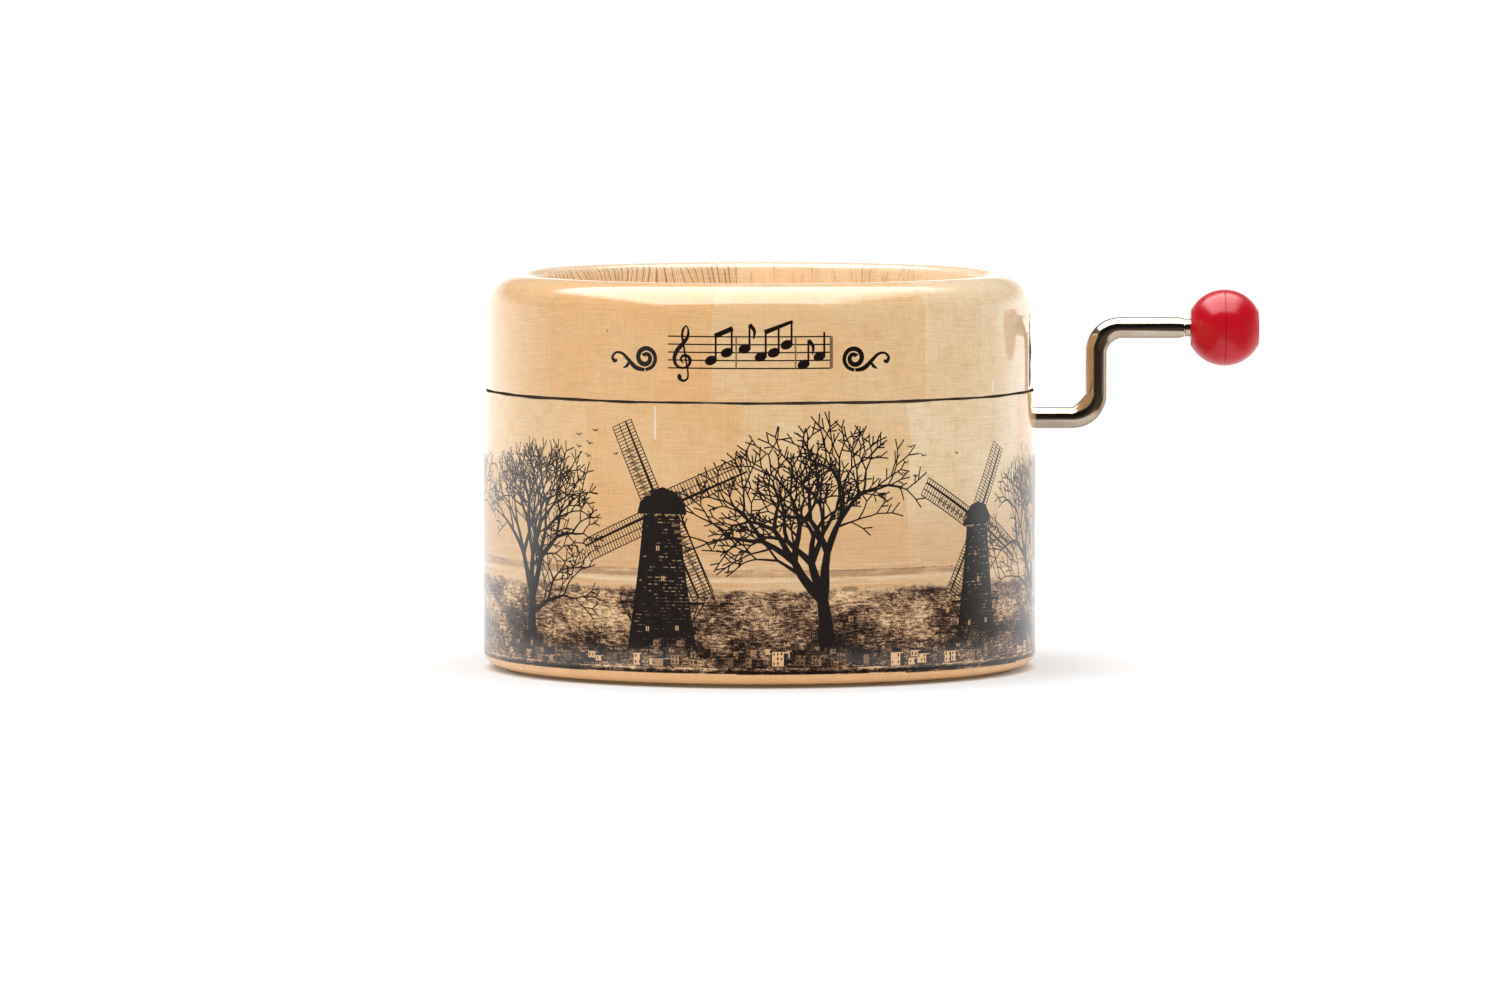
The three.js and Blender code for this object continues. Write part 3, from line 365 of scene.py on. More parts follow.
def painted_landscape(paint, u, v, sky):
    """The far plain with its haze, and a crowded town that gets clearer towards the foot."""

    def cells(columns, rows, channel):
        """Random tones in small upright blocks, so many to the millimetre."""
        stretch = paint.place((columns, rows, 1), paper=True)
        blocks = paint.add("TexVoronoi", {"Vector": stretch, "Scale": 1.0}, distance="CHEBYCHEV")
        return paint.add("SeparateColor", {0: blocks.outputs["Color"]}).outputs[channel]

    def between(value, low, high, soft):
        return paint.within(
            paint.spread(value, low - soft, low + soft), value, high + soft, high - soft)

    colour = paint.over(sky, HORIZON, v, 27.0, 14.5, 0.0, 0.8, smooth=True)
    streaks = paint.streaks(0.07, 1.4, 5, 0.65)
    haze = paint.within(paint.spread(v, 18.5, 15.0), streaks, 0.42, 0.6)
    colour = paint.mix(paint.math("MULTIPLY", haze, 0.4), colour, TAN_PALE)
    far_edge = paint.plus(v, paint.streaks(0.8, 2.6, 6, 0.8), 0.9)
    patchy = paint.streaks(0.12, 0.8, 5, 0.7)
    grain = paint.streaks(6.5, 7.5, 2, 0.9)
    hills = paint.within(between(far_edge, 14.3, 15.15, 0.07), patchy, 0.42, 0.54, 0.12, 0.85)
    hills = paint.within(hills, grain, 0.36, 0.64, 0.5, 1.0)
    colour = paint.mix(hills, colour, FAR_HILLS)
    ridge = paint.within(between(far_edge, 15.05, 15.15, 0.05), patchy, 0.4, 0.55, 0.2, 0.8)
    colour = paint.mix(ridge, colour, GROUND_MIDDLE)
    mist = paint.within(between(far_edge, 13.7, 14.2, 0.15), streaks, 0.3, 0.6, 0.2, 0.7)
    colour = paint.mix(mist, colour, TAN_PALE)

    patches = paint.streaks(0.11, 0.2, 3, 0.6)
    dashes = paint.streaks(0.9, 4.2, 3, 0.7)
    street = paint.within(between(v, 2.42, 2.56, 0.06), patchy, 0.4, 0.55)
    tone = paint.total(
        -0.51, (cells(0.4, 1.3, 0), 0.24), (cells(2.2, 3.2, 1), 0.28),
        (paint.spread(dashes, 0.36, 0.64), 0.46), (paint.spread(grain, 0.37, 0.63), 0.56),
        (paint.spread(patches, 0.38, 0.62), 0.44), (paint.spread(v, 4.0, 12.5, -0.16, 0.14),),
        (street, 0.5), (between(v, 1.9, 2.2, 0.06), -0.3))
    ground = paint.ramp(tone, GROUND_TONES)

    edge = paint.plus(v, paint.streaks(0.3, 0.3, 8, 0.75), 3.4)
    colour = paint.over(colour, ground, edge, 14.2, 13.5, smooth=True)
    foot = paint.plus(v, paint.attribute("tint"), 0.35)
    return paint.over(colour, PLAIN_BAND, foot, 1.98, 1.9), None


def plain_paper():
    """Uncoated tan paper with short fibres."""
    paint = Finish("plain_paper", Roughness=0.85)
    fibre = paint.noise(1.4, 8, 0.75, paint.place((1, 3.2, 1)))
    colour = paint.over(screen(214, 186, 142), screen(199, 168, 122),
                        paint.noise(0.12, 4, 0.6), 0.3, 0.7)
    paint.set("Base Color", paint.over(colour, screen(236, 218, 184), fibre, 0.5, 0.72, 0.0, 0.35))
    paint.bump(fibre, 0.03)
    return paint.material


def grey_board():
    """Grey-brown board wound from strips, with fibres and the lines between the strips."""
    paint = Finish("grey_board", Roughness=0.95)
    fibre = paint.noise(2.2, 8, 0.8, paint.place((1, 1, 2.5)))
    colour = paint.over(screen(168, 150, 122), screen(146, 127, 100),
                        paint.noise(0.3, 4, 0.6), 0.3, 0.7)
    colour = paint.over(colour, screen(196, 180, 152), fibre, 0.45, 0.7, 0.0, 0.5)
    plies = paint.add("TexWave", {"Vector": paint.place(), "Scale": 0.9, "Distortion": 1.2,
                                  "Detail": 3.0}, wave_type="RINGS", rings_direction="Z")
    paint.set("Base Color", paint.over(colour, HARDBOARD, plies.outputs["Fac"], 0.0, 0.25, 0.3, 0.0))
    paint.bump(fibre, 0.06)
    return paint.material


def hardboard():
    """Pressed wood fibre with a mottled brown face."""
    paint = Finish("hardboard", Roughness=0.8)
    chips = paint.noise(1.6, 10, 0.82)
    colour = paint.ramp(
        chips, [(0.3, screen(84, 55, 32)), (0.5, HARDBOARD), (0.72, screen(166, 124, 80))])
    paint.set("Base Color", paint.over(
        colour, screen(98, 68, 42), paint.noise(0.2, 3, 0.5), 0.35, 0.65, 0.0, 0.3))
    paint.bump(chips, 0.08)
    return paint.material


def metal(name, colour, dull, roughness, stretch, mark=0.25, pits=0.0, **shader):
    """Metal with tool marks along one direction, patches that are duller, and cast pits."""
    paint = Finish(name, Metallic=1.0, **shader)
    marks = paint.noise(1.0, 6, 0.7, paint.place(stretch))
    cloud = paint.noise(0.35, 4, 0.6)
    paint.set("Base Color", paint.over(colour, dull, cloud, 0.35, 0.75))
    rough = paint.spread(marks, 0.3, 0.75, roughness, roughness + mark)
    paint.set("Roughness", paint.plus(rough, cloud, 0.06))
    paint.bump(marks, 0.004)
    if pits:
        paint.bump(paint.noise(3.0, 4, 0.6), pits)
    return paint.material


def moulded(name, colour, shade, roughness, seam=None, **shader):
    """Moulded plastic: faint flow clouds, a fine skin, a few rubbed places, and a mould line."""
    paint = Finish(name, **shader)
    painted = paint.over(colour, shade, paint.noise(0.4, 3, 0.5), 0.35, 0.7)
    if seam:
        from_seam = paint.math(
            "ABSOLUTE", paint.math("SUBTRACT", paint.axes(paint.place())[X], seam))
        painted = paint.over(painted, screen(110, 0, 12), from_seam, 0.02, 0.08, 0.35, 0.0)
    paint.set("Base Color", painted)
    rubbed = paint.noise(1.2, 8, 0.8)
    paint.set("Roughness", paint.spread(rubbed, 0.55, 0.75, roughness, roughness + 0.12))
    paint.bump(paint.noise(9.0, 2, 0.5), 0.004)
    paint.bump(paint.noise(0.9, 3, 0.5), 0.02)
    return paint.material


FINISHES = {
    "body_print": printed_paper("body_print", painted_landscape, PRINT_INK, WORN_INK, BODY_TOP),
    "lid_print": printed_paper("lid_print", creased_rim, ORNAMENT_INK, PRINT_INK, LID_BOTTOM),
    "plain_paper": plain_paper(),
    "grey_board": grey_board(),
    "fibreboard": hardboard(),
    "nickelled_steel": metal(
        "nickel_plate", screen(206, 192, 176), screen(188, 168, 146), 0.05, (0.5, 3.5, 3.5),
        mark=0.12, Specular_Tint=screen(128, 112, 98)),
    "spring_steel": metal(
        "ground_steel", screen(186, 188, 190), screen(160, 160, 160), 0.22, (0.3, 9.0, 9.0)),
    "zinc_casting": metal(
        "zinc_casting", screen(168, 169, 172), screen(140, 140, 142), 0.38, (1.2, 1.2, 1.2),
        pits=0.03),
    "brass": metal(
        "turned_brass", screen(212, 172, 96), screen(184, 140, 72), 0.16, (0.6, 6.0, 0.6)),
    "white_nylon": moulded(
        "white_nylon", screen(231, 226, 212), screen(222, 214, 194), 0.42,
        Subsurface_Weight=0.15, Subsurface_Scale=0.002),
    "black_plastic": moulded("black_plastic", screen(34, 33, 33), screen(46, 45, 44), 0.4),
    "red_plastic": moulded(
        "red_plastic", screen(194, 0, 28), screen(188, 0, 26), 0.24, seam=middle("knob", X),
        Subsurface_Weight=0.4, Subsurface_Scale=0.004, Subsurface_Radius=(1.0, 0.08, 0.08)),
}


# Tools for pieces that are modelled by hand


def start(piece=None):
    """Selects one piece or nothing, outside edit mode."""
    if bpy.context.mode != "OBJECT":
        bpy.ops.object.mode_set(mode="OBJECT")
    bpy.ops.object.select_all(action="DESELECT")
    if piece:
        piece.select_set(True)
        bpy.context.view_layer.objects.active = piece


def edit():
    """Edits the active piece, with all of it selected."""
    bpy.ops.object.mode_set(mode="EDIT")
    bpy.ops.mesh.select_mode(type="VERT")
    bpy.ops.mesh.select_all(action="SELECT")


def leave_edit():
    bpy.ops.object.mode_set(mode="OBJECT")


def settle():
    """Puts the place, turn and scale of what is selected into its mesh."""
    bpy.ops.object.transform_apply(location=True, rotation=True, scale=True)


def added(name, data):
    """A new object in the scene."""
    made = bpy.data.objects.new(name, data)
    bpy.context.collection.objects.link(made)
    return made


def apply_modifier(piece, kind, **settings):
    """Adds a modifier with its settings and makes its result the mesh."""
    modifier = piece.modifiers.new(kind, kind)
    for name, value in settings.items():
        setattr(modifier, name, value)
    start(piece)
    bpy.ops.object.modifier_apply(modifier=kind)


def finished(piece, name, body, slot, node, finish=None, smooth=35):
    """Settles a modelled piece at the origin, shades it and says what it stands for."""
    start(piece)
    settle()
    if smooth:
        bpy.ops.object.shade_smooth_by_angle(angle=math.radians(smooth))
    piece.name = piece.data.name = name
    piece.data.materials.clear()
    piece.data.materials.append(FINISHES[finish or slot])
    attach(piece, body)
    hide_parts(node)


def arc(centre_r, centre_z, radius, start_degrees, end_degrees, steps):
    """Points of a profile on an arc, with 0 degrees outwards and 90 degrees up."""
    turns = [
        math.radians(start_degrees + (end_degrees - start_degrees) * i / steps)
        for i in range(steps + 1)
    ]
    return [(centre_r + radius * math.cos(t), centre_z + radius * math.sin(t)) for t in turns]


def turned(profile, segments=128, axis=Z, centre=(0, 0, 0)):
    """Turns a profile of radius and height on a lathe, ring by ring, about one axis.

    The profile's first and last points are joined, across the middle where they lie on it.
    """
    solid = profile[0][0] == 0
    points = profile[1:-1] if solid else profile
    start()
    radius, height = points[0]
    bpy.ops.mesh.primitive_circle_add(
        vertices=segments, radius=radius * MM, location=(0, 0, height * MM),
        fill_type="NGON" if solid else "NOTHING")
    piece = bpy.context.object
    edit()
    for next_radius, next_height in points[1:]:
        bpy.ops.mesh.extrude_region_move(
            MESH_OT_extrude_region={"use_dissolve_ortho_edges": False},
            TRANSFORM_OT_translate={"value": (0, 0, (next_height - height) * MM)})
        size = next_radius / radius
        bpy.ops.transform.resize(
            value=(size, size, 1), center_override=(0, 0, next_height * MM))
        radius, height = next_radius, next_height
    leave_edit()
    if not solid:
        close_ring()
    outwards(piece)
    settle()
    if axis != Z:
        piece.rotation_euler = (0, QUARTER, 0) if axis == X else (-QUARTER, 0, 0)
    piece.location = Vector(centre) * MM
    settle()
    return piece


def close_ring():
    """Bridges the first and the last ring of a turned profile."""
    edit()
    bpy.ops.mesh.select_all(action="DESELECT")
    bpy.ops.mesh.select_mode(type="EDGE")
    bpy.ops.mesh.select_non_manifold(extend=False)
    bpy.ops.mesh.bridge_edge_loops()
    leave_edit()


def outwards(piece):
    """Merges doubled corners and turns all faces outwards."""
    bpy.context.view_layer.objects.active = piece
    edit()
    bpy.ops.mesh.remove_doubles(threshold=1e-7)
    bpy.ops.mesh.normals_make_consistent(inside=False)
    leave_edit()


def cut(piece, cutter):
    """Cuts one piece with another, which is then thrown away."""
    apply_modifier(piece, "BOOLEAN", object=cutter, operation="DIFFERENCE", solver="EXACT")
    bpy.data.objects.remove(cutter, do_unlink=True)


def drill_rod_hole(piece):
    """The hole for the crank, through the cardboard on the crank's side."""
    start()
    inner, outer = BODY_RADIUS / 2, BODY_RADIUS + PAPER * 4
    bpy.ops.mesh.primitive_cylinder_add(
        vertices=32, radius=ROD_HOLE_RADIUS * MM, depth=(outer - inner) * MM,
        location=((inner + outer) / 2 * MM, CRANK_Y * MM, CRANK_Z * MM), rotation=(0, QUARTER, 0))
    cut(piece, bpy.context.object)


# Printed papers
#
# A mark is (outline, ink, pale): a flat shape on the paper, how dark its ink is, and how pale it is
# where it has none. A later mark lies over an earlier one.


def stroke(points, widths):
    """Quads along a path that is as wide as widths say at each point."""
    left, right = [], []
    for i, ((u, v), width) in enumerate(zip(points, widths)):
        before = points[max(i - 1, 0)]
        after = points[min(i + 1, len(points) - 1)]
        du, dv = after[0] - before[0], after[1] - before[1]
        length = math.hypot(du, dv) or 1.0
        across = (-dv / length * width / 2, du / length * width / 2)
        left.append((u + across[0], v + across[1]))
        right.append((u - across[0], v - across[1]))
    return [
        [right[i], right[i + 1], left[i + 1], left[i]]
        for i in range(len(points) - 1)
    ]


def drawn(points, widths, ink=1.0):
    """Marks along a path of one width or of a width at each point."""
    if not isinstance(widths, list):
        widths = [widths] * len(points)
    return [(quad, ink, 0.0) for quad in stroke(points, widths)]


def curve(points, steps=5):
    """A smooth path through (u, v, width) points, as points and widths."""
    rows = np.array([points[0], *points, points[-1]], dtype=float)
    path = []
    for a, b, c, d in zip(rows, rows[1:], rows[2:], rows[3:]):
        for i in range(steps):
            t = i / steps
            path.append(0.5 * (2 * b + (c - a) * t + (2 * a - 5 * b + 4 * c - d) * t * t
                               + (3 * b - a - 3 * c + d) * t ** 3))
    path.append(rows[-1])
    return [(p[0], p[1]) for p in path], [p[2] for p in path]


def ellipse(u, v, half_width, half_height, tilt=0.0, corners=14):
    """An outline round (u, v), tilted by degrees."""
    lean_u, lean_v = math.cos(math.radians(tilt)), math.sin(math.radians(tilt))
    places = []
    for i in range(corners):
        turn = TURN * i / corners
        along, across = half_width * math.cos(turn), half_height * math.sin(turn)
        places.append((u + along * lean_u - across * lean_v, v + along * lean_v + across * lean_u))
    return places


def block(u, v, width, height, ink=0.0, pale=0.0):
    """A mark: a rectangle that stands on its foot."""
    left, right, top = u - width / 2, u + width / 2, v + height
    return [(left, v), (right, v), (right, top), (left, top)], ink, pale


def bare_tree(chance, foot_u, foot_v, height):
    """A bare winter tree: tapering branches that fork up to fine twigs."""
    twig, levels, steps = 0.11, 7, 3
    quads = []

    def grow(u, v, heading, length, width, level):
        points = [(u, v)]
        for _ in range(steps):
            heading += chance.uniform(-0.17, 0.17)
            u += length / steps * math.sin(heading)
            v += length / steps * math.cos(heading)
            points.append((u, v))
        tip = max(twig, width * 0.62)
        shown = points[::steps] if level < 2 else points
        widths = [width + (tip - width) * i / (len(shown) - 1) for i in range(len(shown))]
        quads.extend(stroke(shown, widths))
        if level == 0:
            return
        for fork in [-1, 1] if level < levels - 1 else [-1, 0, 1]:
            apart = fork * chance.uniform(0.28, 0.62) + chance.uniform(-0.1, 0.1)
            grow(u, v, heading * 0.9 + apart, length * chance.uniform(0.66, 0.86), tip, level - 1)
        if chance.random() < 0.45:
            bend = chance.choice((-1, 1)) * chance.uniform(0.6, 1.0)
            grow(*points[2], heading + bend, length * 0.6, max(twig, tip * 0.6), max(level - 2, 0))

    grow(0, 0, chance.uniform(-0.06, 0.06), 4.6, 1.5, levels)
    size = height / max(v for quad in quads for _, v in quad)
    roots = [(foot_u - 1.5, foot_v - 0.7), (foot_u + 1.4, foot_v - 0.8),
             (foot_u + 0.62 * size, foot_v + 1.8), (foot_u - 0.62 * size, foot_v + 1.8)]
    placed = [[(foot_u + u * size, foot_v + v * size) for u, v in quad] for quad in quads]
    return [(quad, 1.0, 0.0) for quad in [roots, *placed]]


def sails(hub_u, hub_v, length, turn):
    """The four lattice sails of a mill, two of them with boards in their frames."""
    root, span, rungs = length * 0.16, length * 0.17, int(length / 0.48)
    marks = []
    for arm in range(4):
        angle = turn + arm * QUARTER
        out_u, out_v = math.cos(angle), math.sin(angle)

        def at(along, across):
            return (hub_u + out_u * along - out_v * across,
                    hub_v + out_v * along + out_u * across)

        marks += drawn([at(0, 0), at(length, 0)], [0.42, 0.24])
        for share in (-0.4, 0.5, 1.0):
            marks += drawn([at(root, span * share), at(length, span * share)], 0.13)
        for i in range(rungs + 1):
            along = root + (length - root) * i / rungs
            marks += drawn([at(along, -span * 0.4), at(along, span)], 0.11)
            if arm % 2 and i < rungs * 0.7 and i % 2:
                marks += drawn([at(along, span * 0.25), at(along + 0.4, span * 0.75)], 0.34, 0.8)
    return marks


def windmill(chance, foot_u, foot_v, height, turn):
    """A country windmill of weathered boards with a railed stage and lattice sails."""
    hub_v = foot_v + height
    wide, narrow = height * 0.27, height * 0.14
    marks = []

    def draw(*path):
        marks.extend(drawn(*path))

    def half_width(share):
        return narrow + (wide - narrow) * (1 - share) ** 1.25

    sides = [(foot_u + half_width(i / 6), foot_v + height * (i / 6)) for i in range(7)]
    marks.append((sides + [(2 * foot_u - u, v) for u, v in sides[::-1]], 1.0, 0.0))
    courses = int(height / 0.42)
    for row in range(1, courses):
        share = row / courses
        v, reach = foot_v + height * share, half_width(share) - 0.15
        u = -reach + chance.uniform(0, 0.5)
        while u < reach:
            length = chance.uniform(0.2, 0.7)
            if chance.random() < 0.34 + 0.2 * (u > 0):
                draw([(foot_u + u, v), (foot_u + min(u + length, reach), v)], 0.13,
                     chance.uniform(0.45, 0.85))
            u += length + chance.uniform(0.15, 0.5)
    stage_v, reach, rail = foot_v + height * 0.34, wide * 1.22, 0.8
    draw([(foot_u - reach, stage_v), (foot_u + reach, stage_v)], 0.3)
    draw([(foot_u - reach, stage_v + rail), (foot_u + reach, stage_v + rail)], 0.12)
    for i in range(13):
        post_u = foot_u - reach + 2 * reach * i / 12
        draw([(post_u, stage_v), (post_u, stage_v + rail)], 0.1)
    for facing in (-1, 1):
        for share in (1.0, 0.86):
            draw([(foot_u + facing * reach * share, stage_v),
                  (foot_u + facing * half_width(0.2), foot_v + height * 0.2)], 0.16)
    cap = [(-1.35, -0.1), (-1.2, 0.5), (-0.6, 1.12), (0.1, 1.32), (0.85, 1.05), (1.3, 0.42),
           (1.4, -0.1)]
    marks.append(([(foot_u + x * narrow, hub_v + y * narrow) for x, y in cap], 1.0, 0.0))
    eaves = narrow * 1.2
    draw([(foot_u - eaves, hub_v - 0.28), (foot_u + eaves, hub_v - 0.28)], 0.13, 0.4)
    tail_u = foot_u + wide * 1.5
    draw([(foot_u + narrow, hub_v + 0.2), (tail_u, stage_v + 0.4)], [0.24, 0.16])
    draw([(foot_u + narrow * 0.9, hub_v - height * 0.2), (tail_u - 0.3, stage_v + 0.6)], 0.12)
    for level, offset in ((0.13, -0.4), (0.14, 0.45), (0.5, 0.05), (0.72, -0.1)):
        window_u, window_v = foot_u + offset * wide, foot_v + level * height
        marks.append(block(window_u, window_v, 0.42, 0.6, pale=0.5))
        marks.append(block(window_u, window_v, 0.1, 0.6, ink=1.0))
    return marks + sails(foot_u, hub_v + 0.3, height * 0.7, turn)


def copse(chance, u, v, half_width, height):
    """Bushes: a dark heart inside a tangle of twigs."""
    marks = []
    for _ in range(int(half_width * 3)):
        at_u = u + chance.uniform(-0.8, 0.8) * half_width
        size = chance.uniform(0.25, 0.5) * height
        marks.append((ellipse(at_u, v + size * 0.7, size * 1.2, size, corners=9),
                      chance.uniform(0.75, 1.0), 0.0))
    for _ in range(int(half_width * 26)):
        share = chance.uniform(-1, 1)
        rise = math.sqrt(1 - share * share) * height * chance.uniform(0.1, 1.0)
        at_u, at_v = u + share * half_width, v + rise
        heading, length = chance.uniform(-1.1, 1.1), chance.uniform(0.4, 1.1)
        tip = (at_u + length * math.sin(heading), at_v + length * math.cos(heading))
        marks += drawn([(at_u, at_v), tip], [0.16, 0.1], chance.uniform(0.6, 1.0))
    return marks


def house(chance, u, v, width, tall, contrast):
    """A town house: a tan wall with dark windows under a dark roof."""
    height = tall * chance.uniform(0.45, 1.4)
    bright = math.sin(u * 0.75) + math.sin(u * 0.31 + 1) > 0.4
    pale = (0.66 if bright else chance.choice((0.1, 0.2, 0.35))) * contrast
    marks = [block(u, v, width, height, pale=pale),
             block(u + width * 0.42, v, width * 0.3, height * 0.9, ink=0.75 * contrast)]
    roof, eave = chance.uniform(0.2, 0.5) * min(width, 1.2), 0.05
    left, right, top = u - width / 2 - eave, u + width / 2 + eave, v + height
    kind = chance.random()
    if kind < 0.35:
        ridge = [(u + chance.uniform(-0.2, 0.2) * width, top + roof)]
    elif kind < 0.7:
        lean = width * 0.15
        ridge = [(right - lean, top + roof * 0.7), (left + lean, top + roof * 0.7)]
    else:
        ridge = [(right, top + 0.16), (left, top + 0.16)]
    outline = [(left, top), (right, top), *ridge]
    marks.append((outline, chance.uniform(0.7, 1.0) * contrast, 0.0))
    columns, rows = max(1, int(width / 0.42)), max(1, int(height / 0.55))
    for i in range(columns):
        for j in range(rows):
            if chance.random() < 0.82:
                window_u = u - width / 2 + width * (i + 0.5) / columns
                window_v = v + height * (j + 0.3) / rows
                marks.append(block(
                    window_u, window_v, 0.19, chance.uniform(0.24, 0.4), ink=0.95 * contrast))
    if chance.random() < 0.6:
        marks.append(block(u + chance.uniform(-0.35, 0.35) * width, top + roof * 0.2, 0.14, 0.5,
                           ink=0.9 * contrast))
    return marks


def bird(u, v, size, tilt):
    """A far bird: two bent wings."""
    turn = math.radians(tilt)
    placed = [
        (u + size * (x * math.cos(turn) - y * math.sin(turn)),
         v + size * (x * math.sin(turn) + y * math.cos(turn)), width)
        for x, y, width in ((-1.0, 0.28, 0.05), (-0.45, 0.42, 0.12), (0.0, 0.0, 0.17),
                            (0.5, 0.36, 0.12), (1.0, 0.14, 0.05))
    ]
    return drawn(*curve(placed, 3), 0.9)


# What stands along the body's print: kind, place round the box, foot, height, seed or turn
LANDSCAPE = [
    ("tree", -95.0, 4.6, 26.0, 21), ("mill", -74.0, 5.4, 14.0, 0.35), ("tree", -55.0, 4.2, 28.0, 4),
    ("tree", -33.5, 4.0, 26.5, 8), ("mill", -12.5, 4.8, 17.0, 0.42), ("tree", 8.5, 3.9, 30.5, 15),
    ("mill", 31.0, 5.2, 14.6, 1.05), ("tree", 47.0, 4.2, 25.5, 2), ("tree", 70.0, 4.0, 29.0, 11),
    ("mill", 90.0, 5.2, 15.0, 0.6),
]
# The middles of the flocks of birds
FLOCKS = [(-22.5, 29.5), (23.0, 28.0), (62.0, 31.0), (-84.0, 30.0)]
# Where the tint of each print changes, and the tints from one edge to the next
BODY_TINT_EDGES = [-84.5, -64.5, -44.0, -23.0, -2.5, 19.5, 41.0, 58.5, 80.5, 101.0]
BODY_TINTS = [0.45, 0.7, 0.3, 0.5, 0.24, 0.5, 0.92, 0.35, 0.6, 0.25, 0.45]
LID_TINT_EDGES = [-88, -61, -29.5, -6.0, 22.0, 52.0, 80.0]
LID_TINTS = [0.5, 0.3, 0.3, 0.12, 0.44, 0.8, 0.4, 0.6]


def body_artwork():
    """Marks of the body's print, from the back to the front."""
    chance = random.Random(7)
    half_round = math.pi * BODY_RADIUS
    marks = []

    def street(low, high, sizes, density, tall, contrast, gap):
        u = -half_round + 3
        while u < half_round - 4:
            width = chance.uniform(*sizes)
            if chance.random() < density:
                marks.extend(house(chance, u, chance.uniform(low, high), width, tall, contrast))
            u += width + chance.uniform(*gap)

    u = -half_round + 2
    while u < half_round - 3:
        width = chance.uniform(0.4, 1.3)
        if chance.random() < 0.8:
            marks.append((ellipse(u, 11.9 + chance.uniform(-0.5, 0.5), width,
                                  chance.uniform(0.25, 0.6), corners=9),
                          chance.uniform(0.25, 0.6), 0.0))
        u += width * chance.uniform(0.8, 1.9)
    street(8.6, 10.8, (0.4, 0.9), 0.6, 0.45, 0.6, (0.2, 1.6))
    street(6.6, 8.4, (0.5, 1.1), 0.6, 0.55, 0.75, (0.2, 1.6))
    for kind, place, foot, height, seed in LANDSCAPE:
        if kind == "tree":
            marks += copse(chance, place + chance.uniform(-1, 1), foot - 0.3, 5.0, 3.2)
            marks += bare_tree(random.Random(seed), place, foot, height)
            marks += copse(chance, place + chance.uniform(-3, 3), foot - 0.8, 3.4, 2.0)
        else:
            marks += windmill(chance, place, foot, height, seed)
            marks += copse(chance, place + chance.uniform(-4, 4), foot - 0.9, 4.4, 1.8)
    street(4.0, 5.4, (0.5, 1.3), 0.6, 0.7, 0.7, (0.2, 2.2))
    street(3.3, 4.4, (0.6, 1.5), 0.6, 0.8, 0.85, (0.1, 2.4))
    street(2.65, 3.1, (0.7, 1.9), 0.75, 1.3, 1.0, (-0.1, 1.3))
    for flock_u, flock_v in FLOCKS:
        for _ in range(6):
            marks += bird(flock_u + chance.uniform(-4.5, 4.5), flock_v + chance.uniform(-2.2, 2.2),
                          chance.uniform(0.35, 0.65), chance.uniform(-18, 18))
    # a short white scuff under the seam
    marks.append(block(-13.3, 30.8, 0.13, BODY_TOP - 31.2, pale=1.0))
    return marks


# Pen strokes of the lid's print: place, height and width at each point
CLEF = [
    (0.05, -0.35, 0.12), (-0.35, 0.0, 0.2), (-0.1, 0.55, 0.28), (0.55, 0.55, 0.32),
    (0.95, 0.0, 0.34), (0.65, -0.75, 0.28), (-0.1, -1.05, 0.24), (-0.95, -0.7, 0.3),
    (-1.25, 0.25, 0.4), (-0.85, 1.3, 0.45), (-0.05, 2.2, 0.42), (0.6, 3.1, 0.32),
    (0.68, 4.0, 0.2), (0.38, 4.55, 0.14), (0.0, 4.1, 0.24), (-0.15, 3.2, 0.26),
    (0.1, 1.6, 0.2), (0.4, -0.2, 0.18), (0.65, -1.7, 0.18), (0.55, -2.45, 0.2),
    (0.05, -2.75, 0.24), (-0.45, -2.5, 0.36), (-0.5, -2.15, 0.5), (-0.3, -2.02, 0.3),
]
SCROLL_TAIL = [
    (-0.1, -1.5, 0.4), (-1.3, -1.25, 0.6), (-2.3, -0.35, 0.5), (-3.2, 0.45, 0.36),
    (-4.1, 0.55, 0.3), (-4.65, 0.0, 0.38), (-4.35, -0.5, 0.5), (-3.95, -0.35, 0.26),
]
SCROLL_LEAF = [(-2.2, -0.35, 0.1), (-2.5, -1.0, 0.42), (-3.1, -1.35, 0.1)]
# The notes in their beamed groups: place, step on the staff
NOTES = [[(-6.1, 2), (-4.1, 4)], [(-1.9, 5)], [(0.1, 3), (1.7, 4), (3.3, 6)], [(5.4, 1)], [(7.4, 3)]]
# The groups of one note that have a flag
FLAGGED = (1, 3)
# The staff: from line to line, the height of its lowest line, and its ends
LINE_GAP, LOW_LINE = 0.98, 39.7
STAFF_ENDS = (-11.6, 8.9)


def scroll(centre_u, centre_v, facing):
    """A traditional scroll: a spiral whose end runs out into a small curl."""
    spiral = []
    steps = 16
    for i in range(steps + 1):
        share = i / steps
        turn = -QUARTER + share * 3.3 * math.pi
        radius = 1.5 - 1.15 * share
        width = 0.42 + 0.2 * math.sin(math.pi * share) + 0.3 * (i == steps)
        spiral.append((radius * math.cos(turn), radius * math.sin(turn), width))
    marks = []
    for points in (spiral, SCROLL_TAIL, SCROLL_LEAF):
        marks += drawn(*curve([(centre_u + facing * x, centre_v + y, w) for x, y, w in points], 4))
    return marks


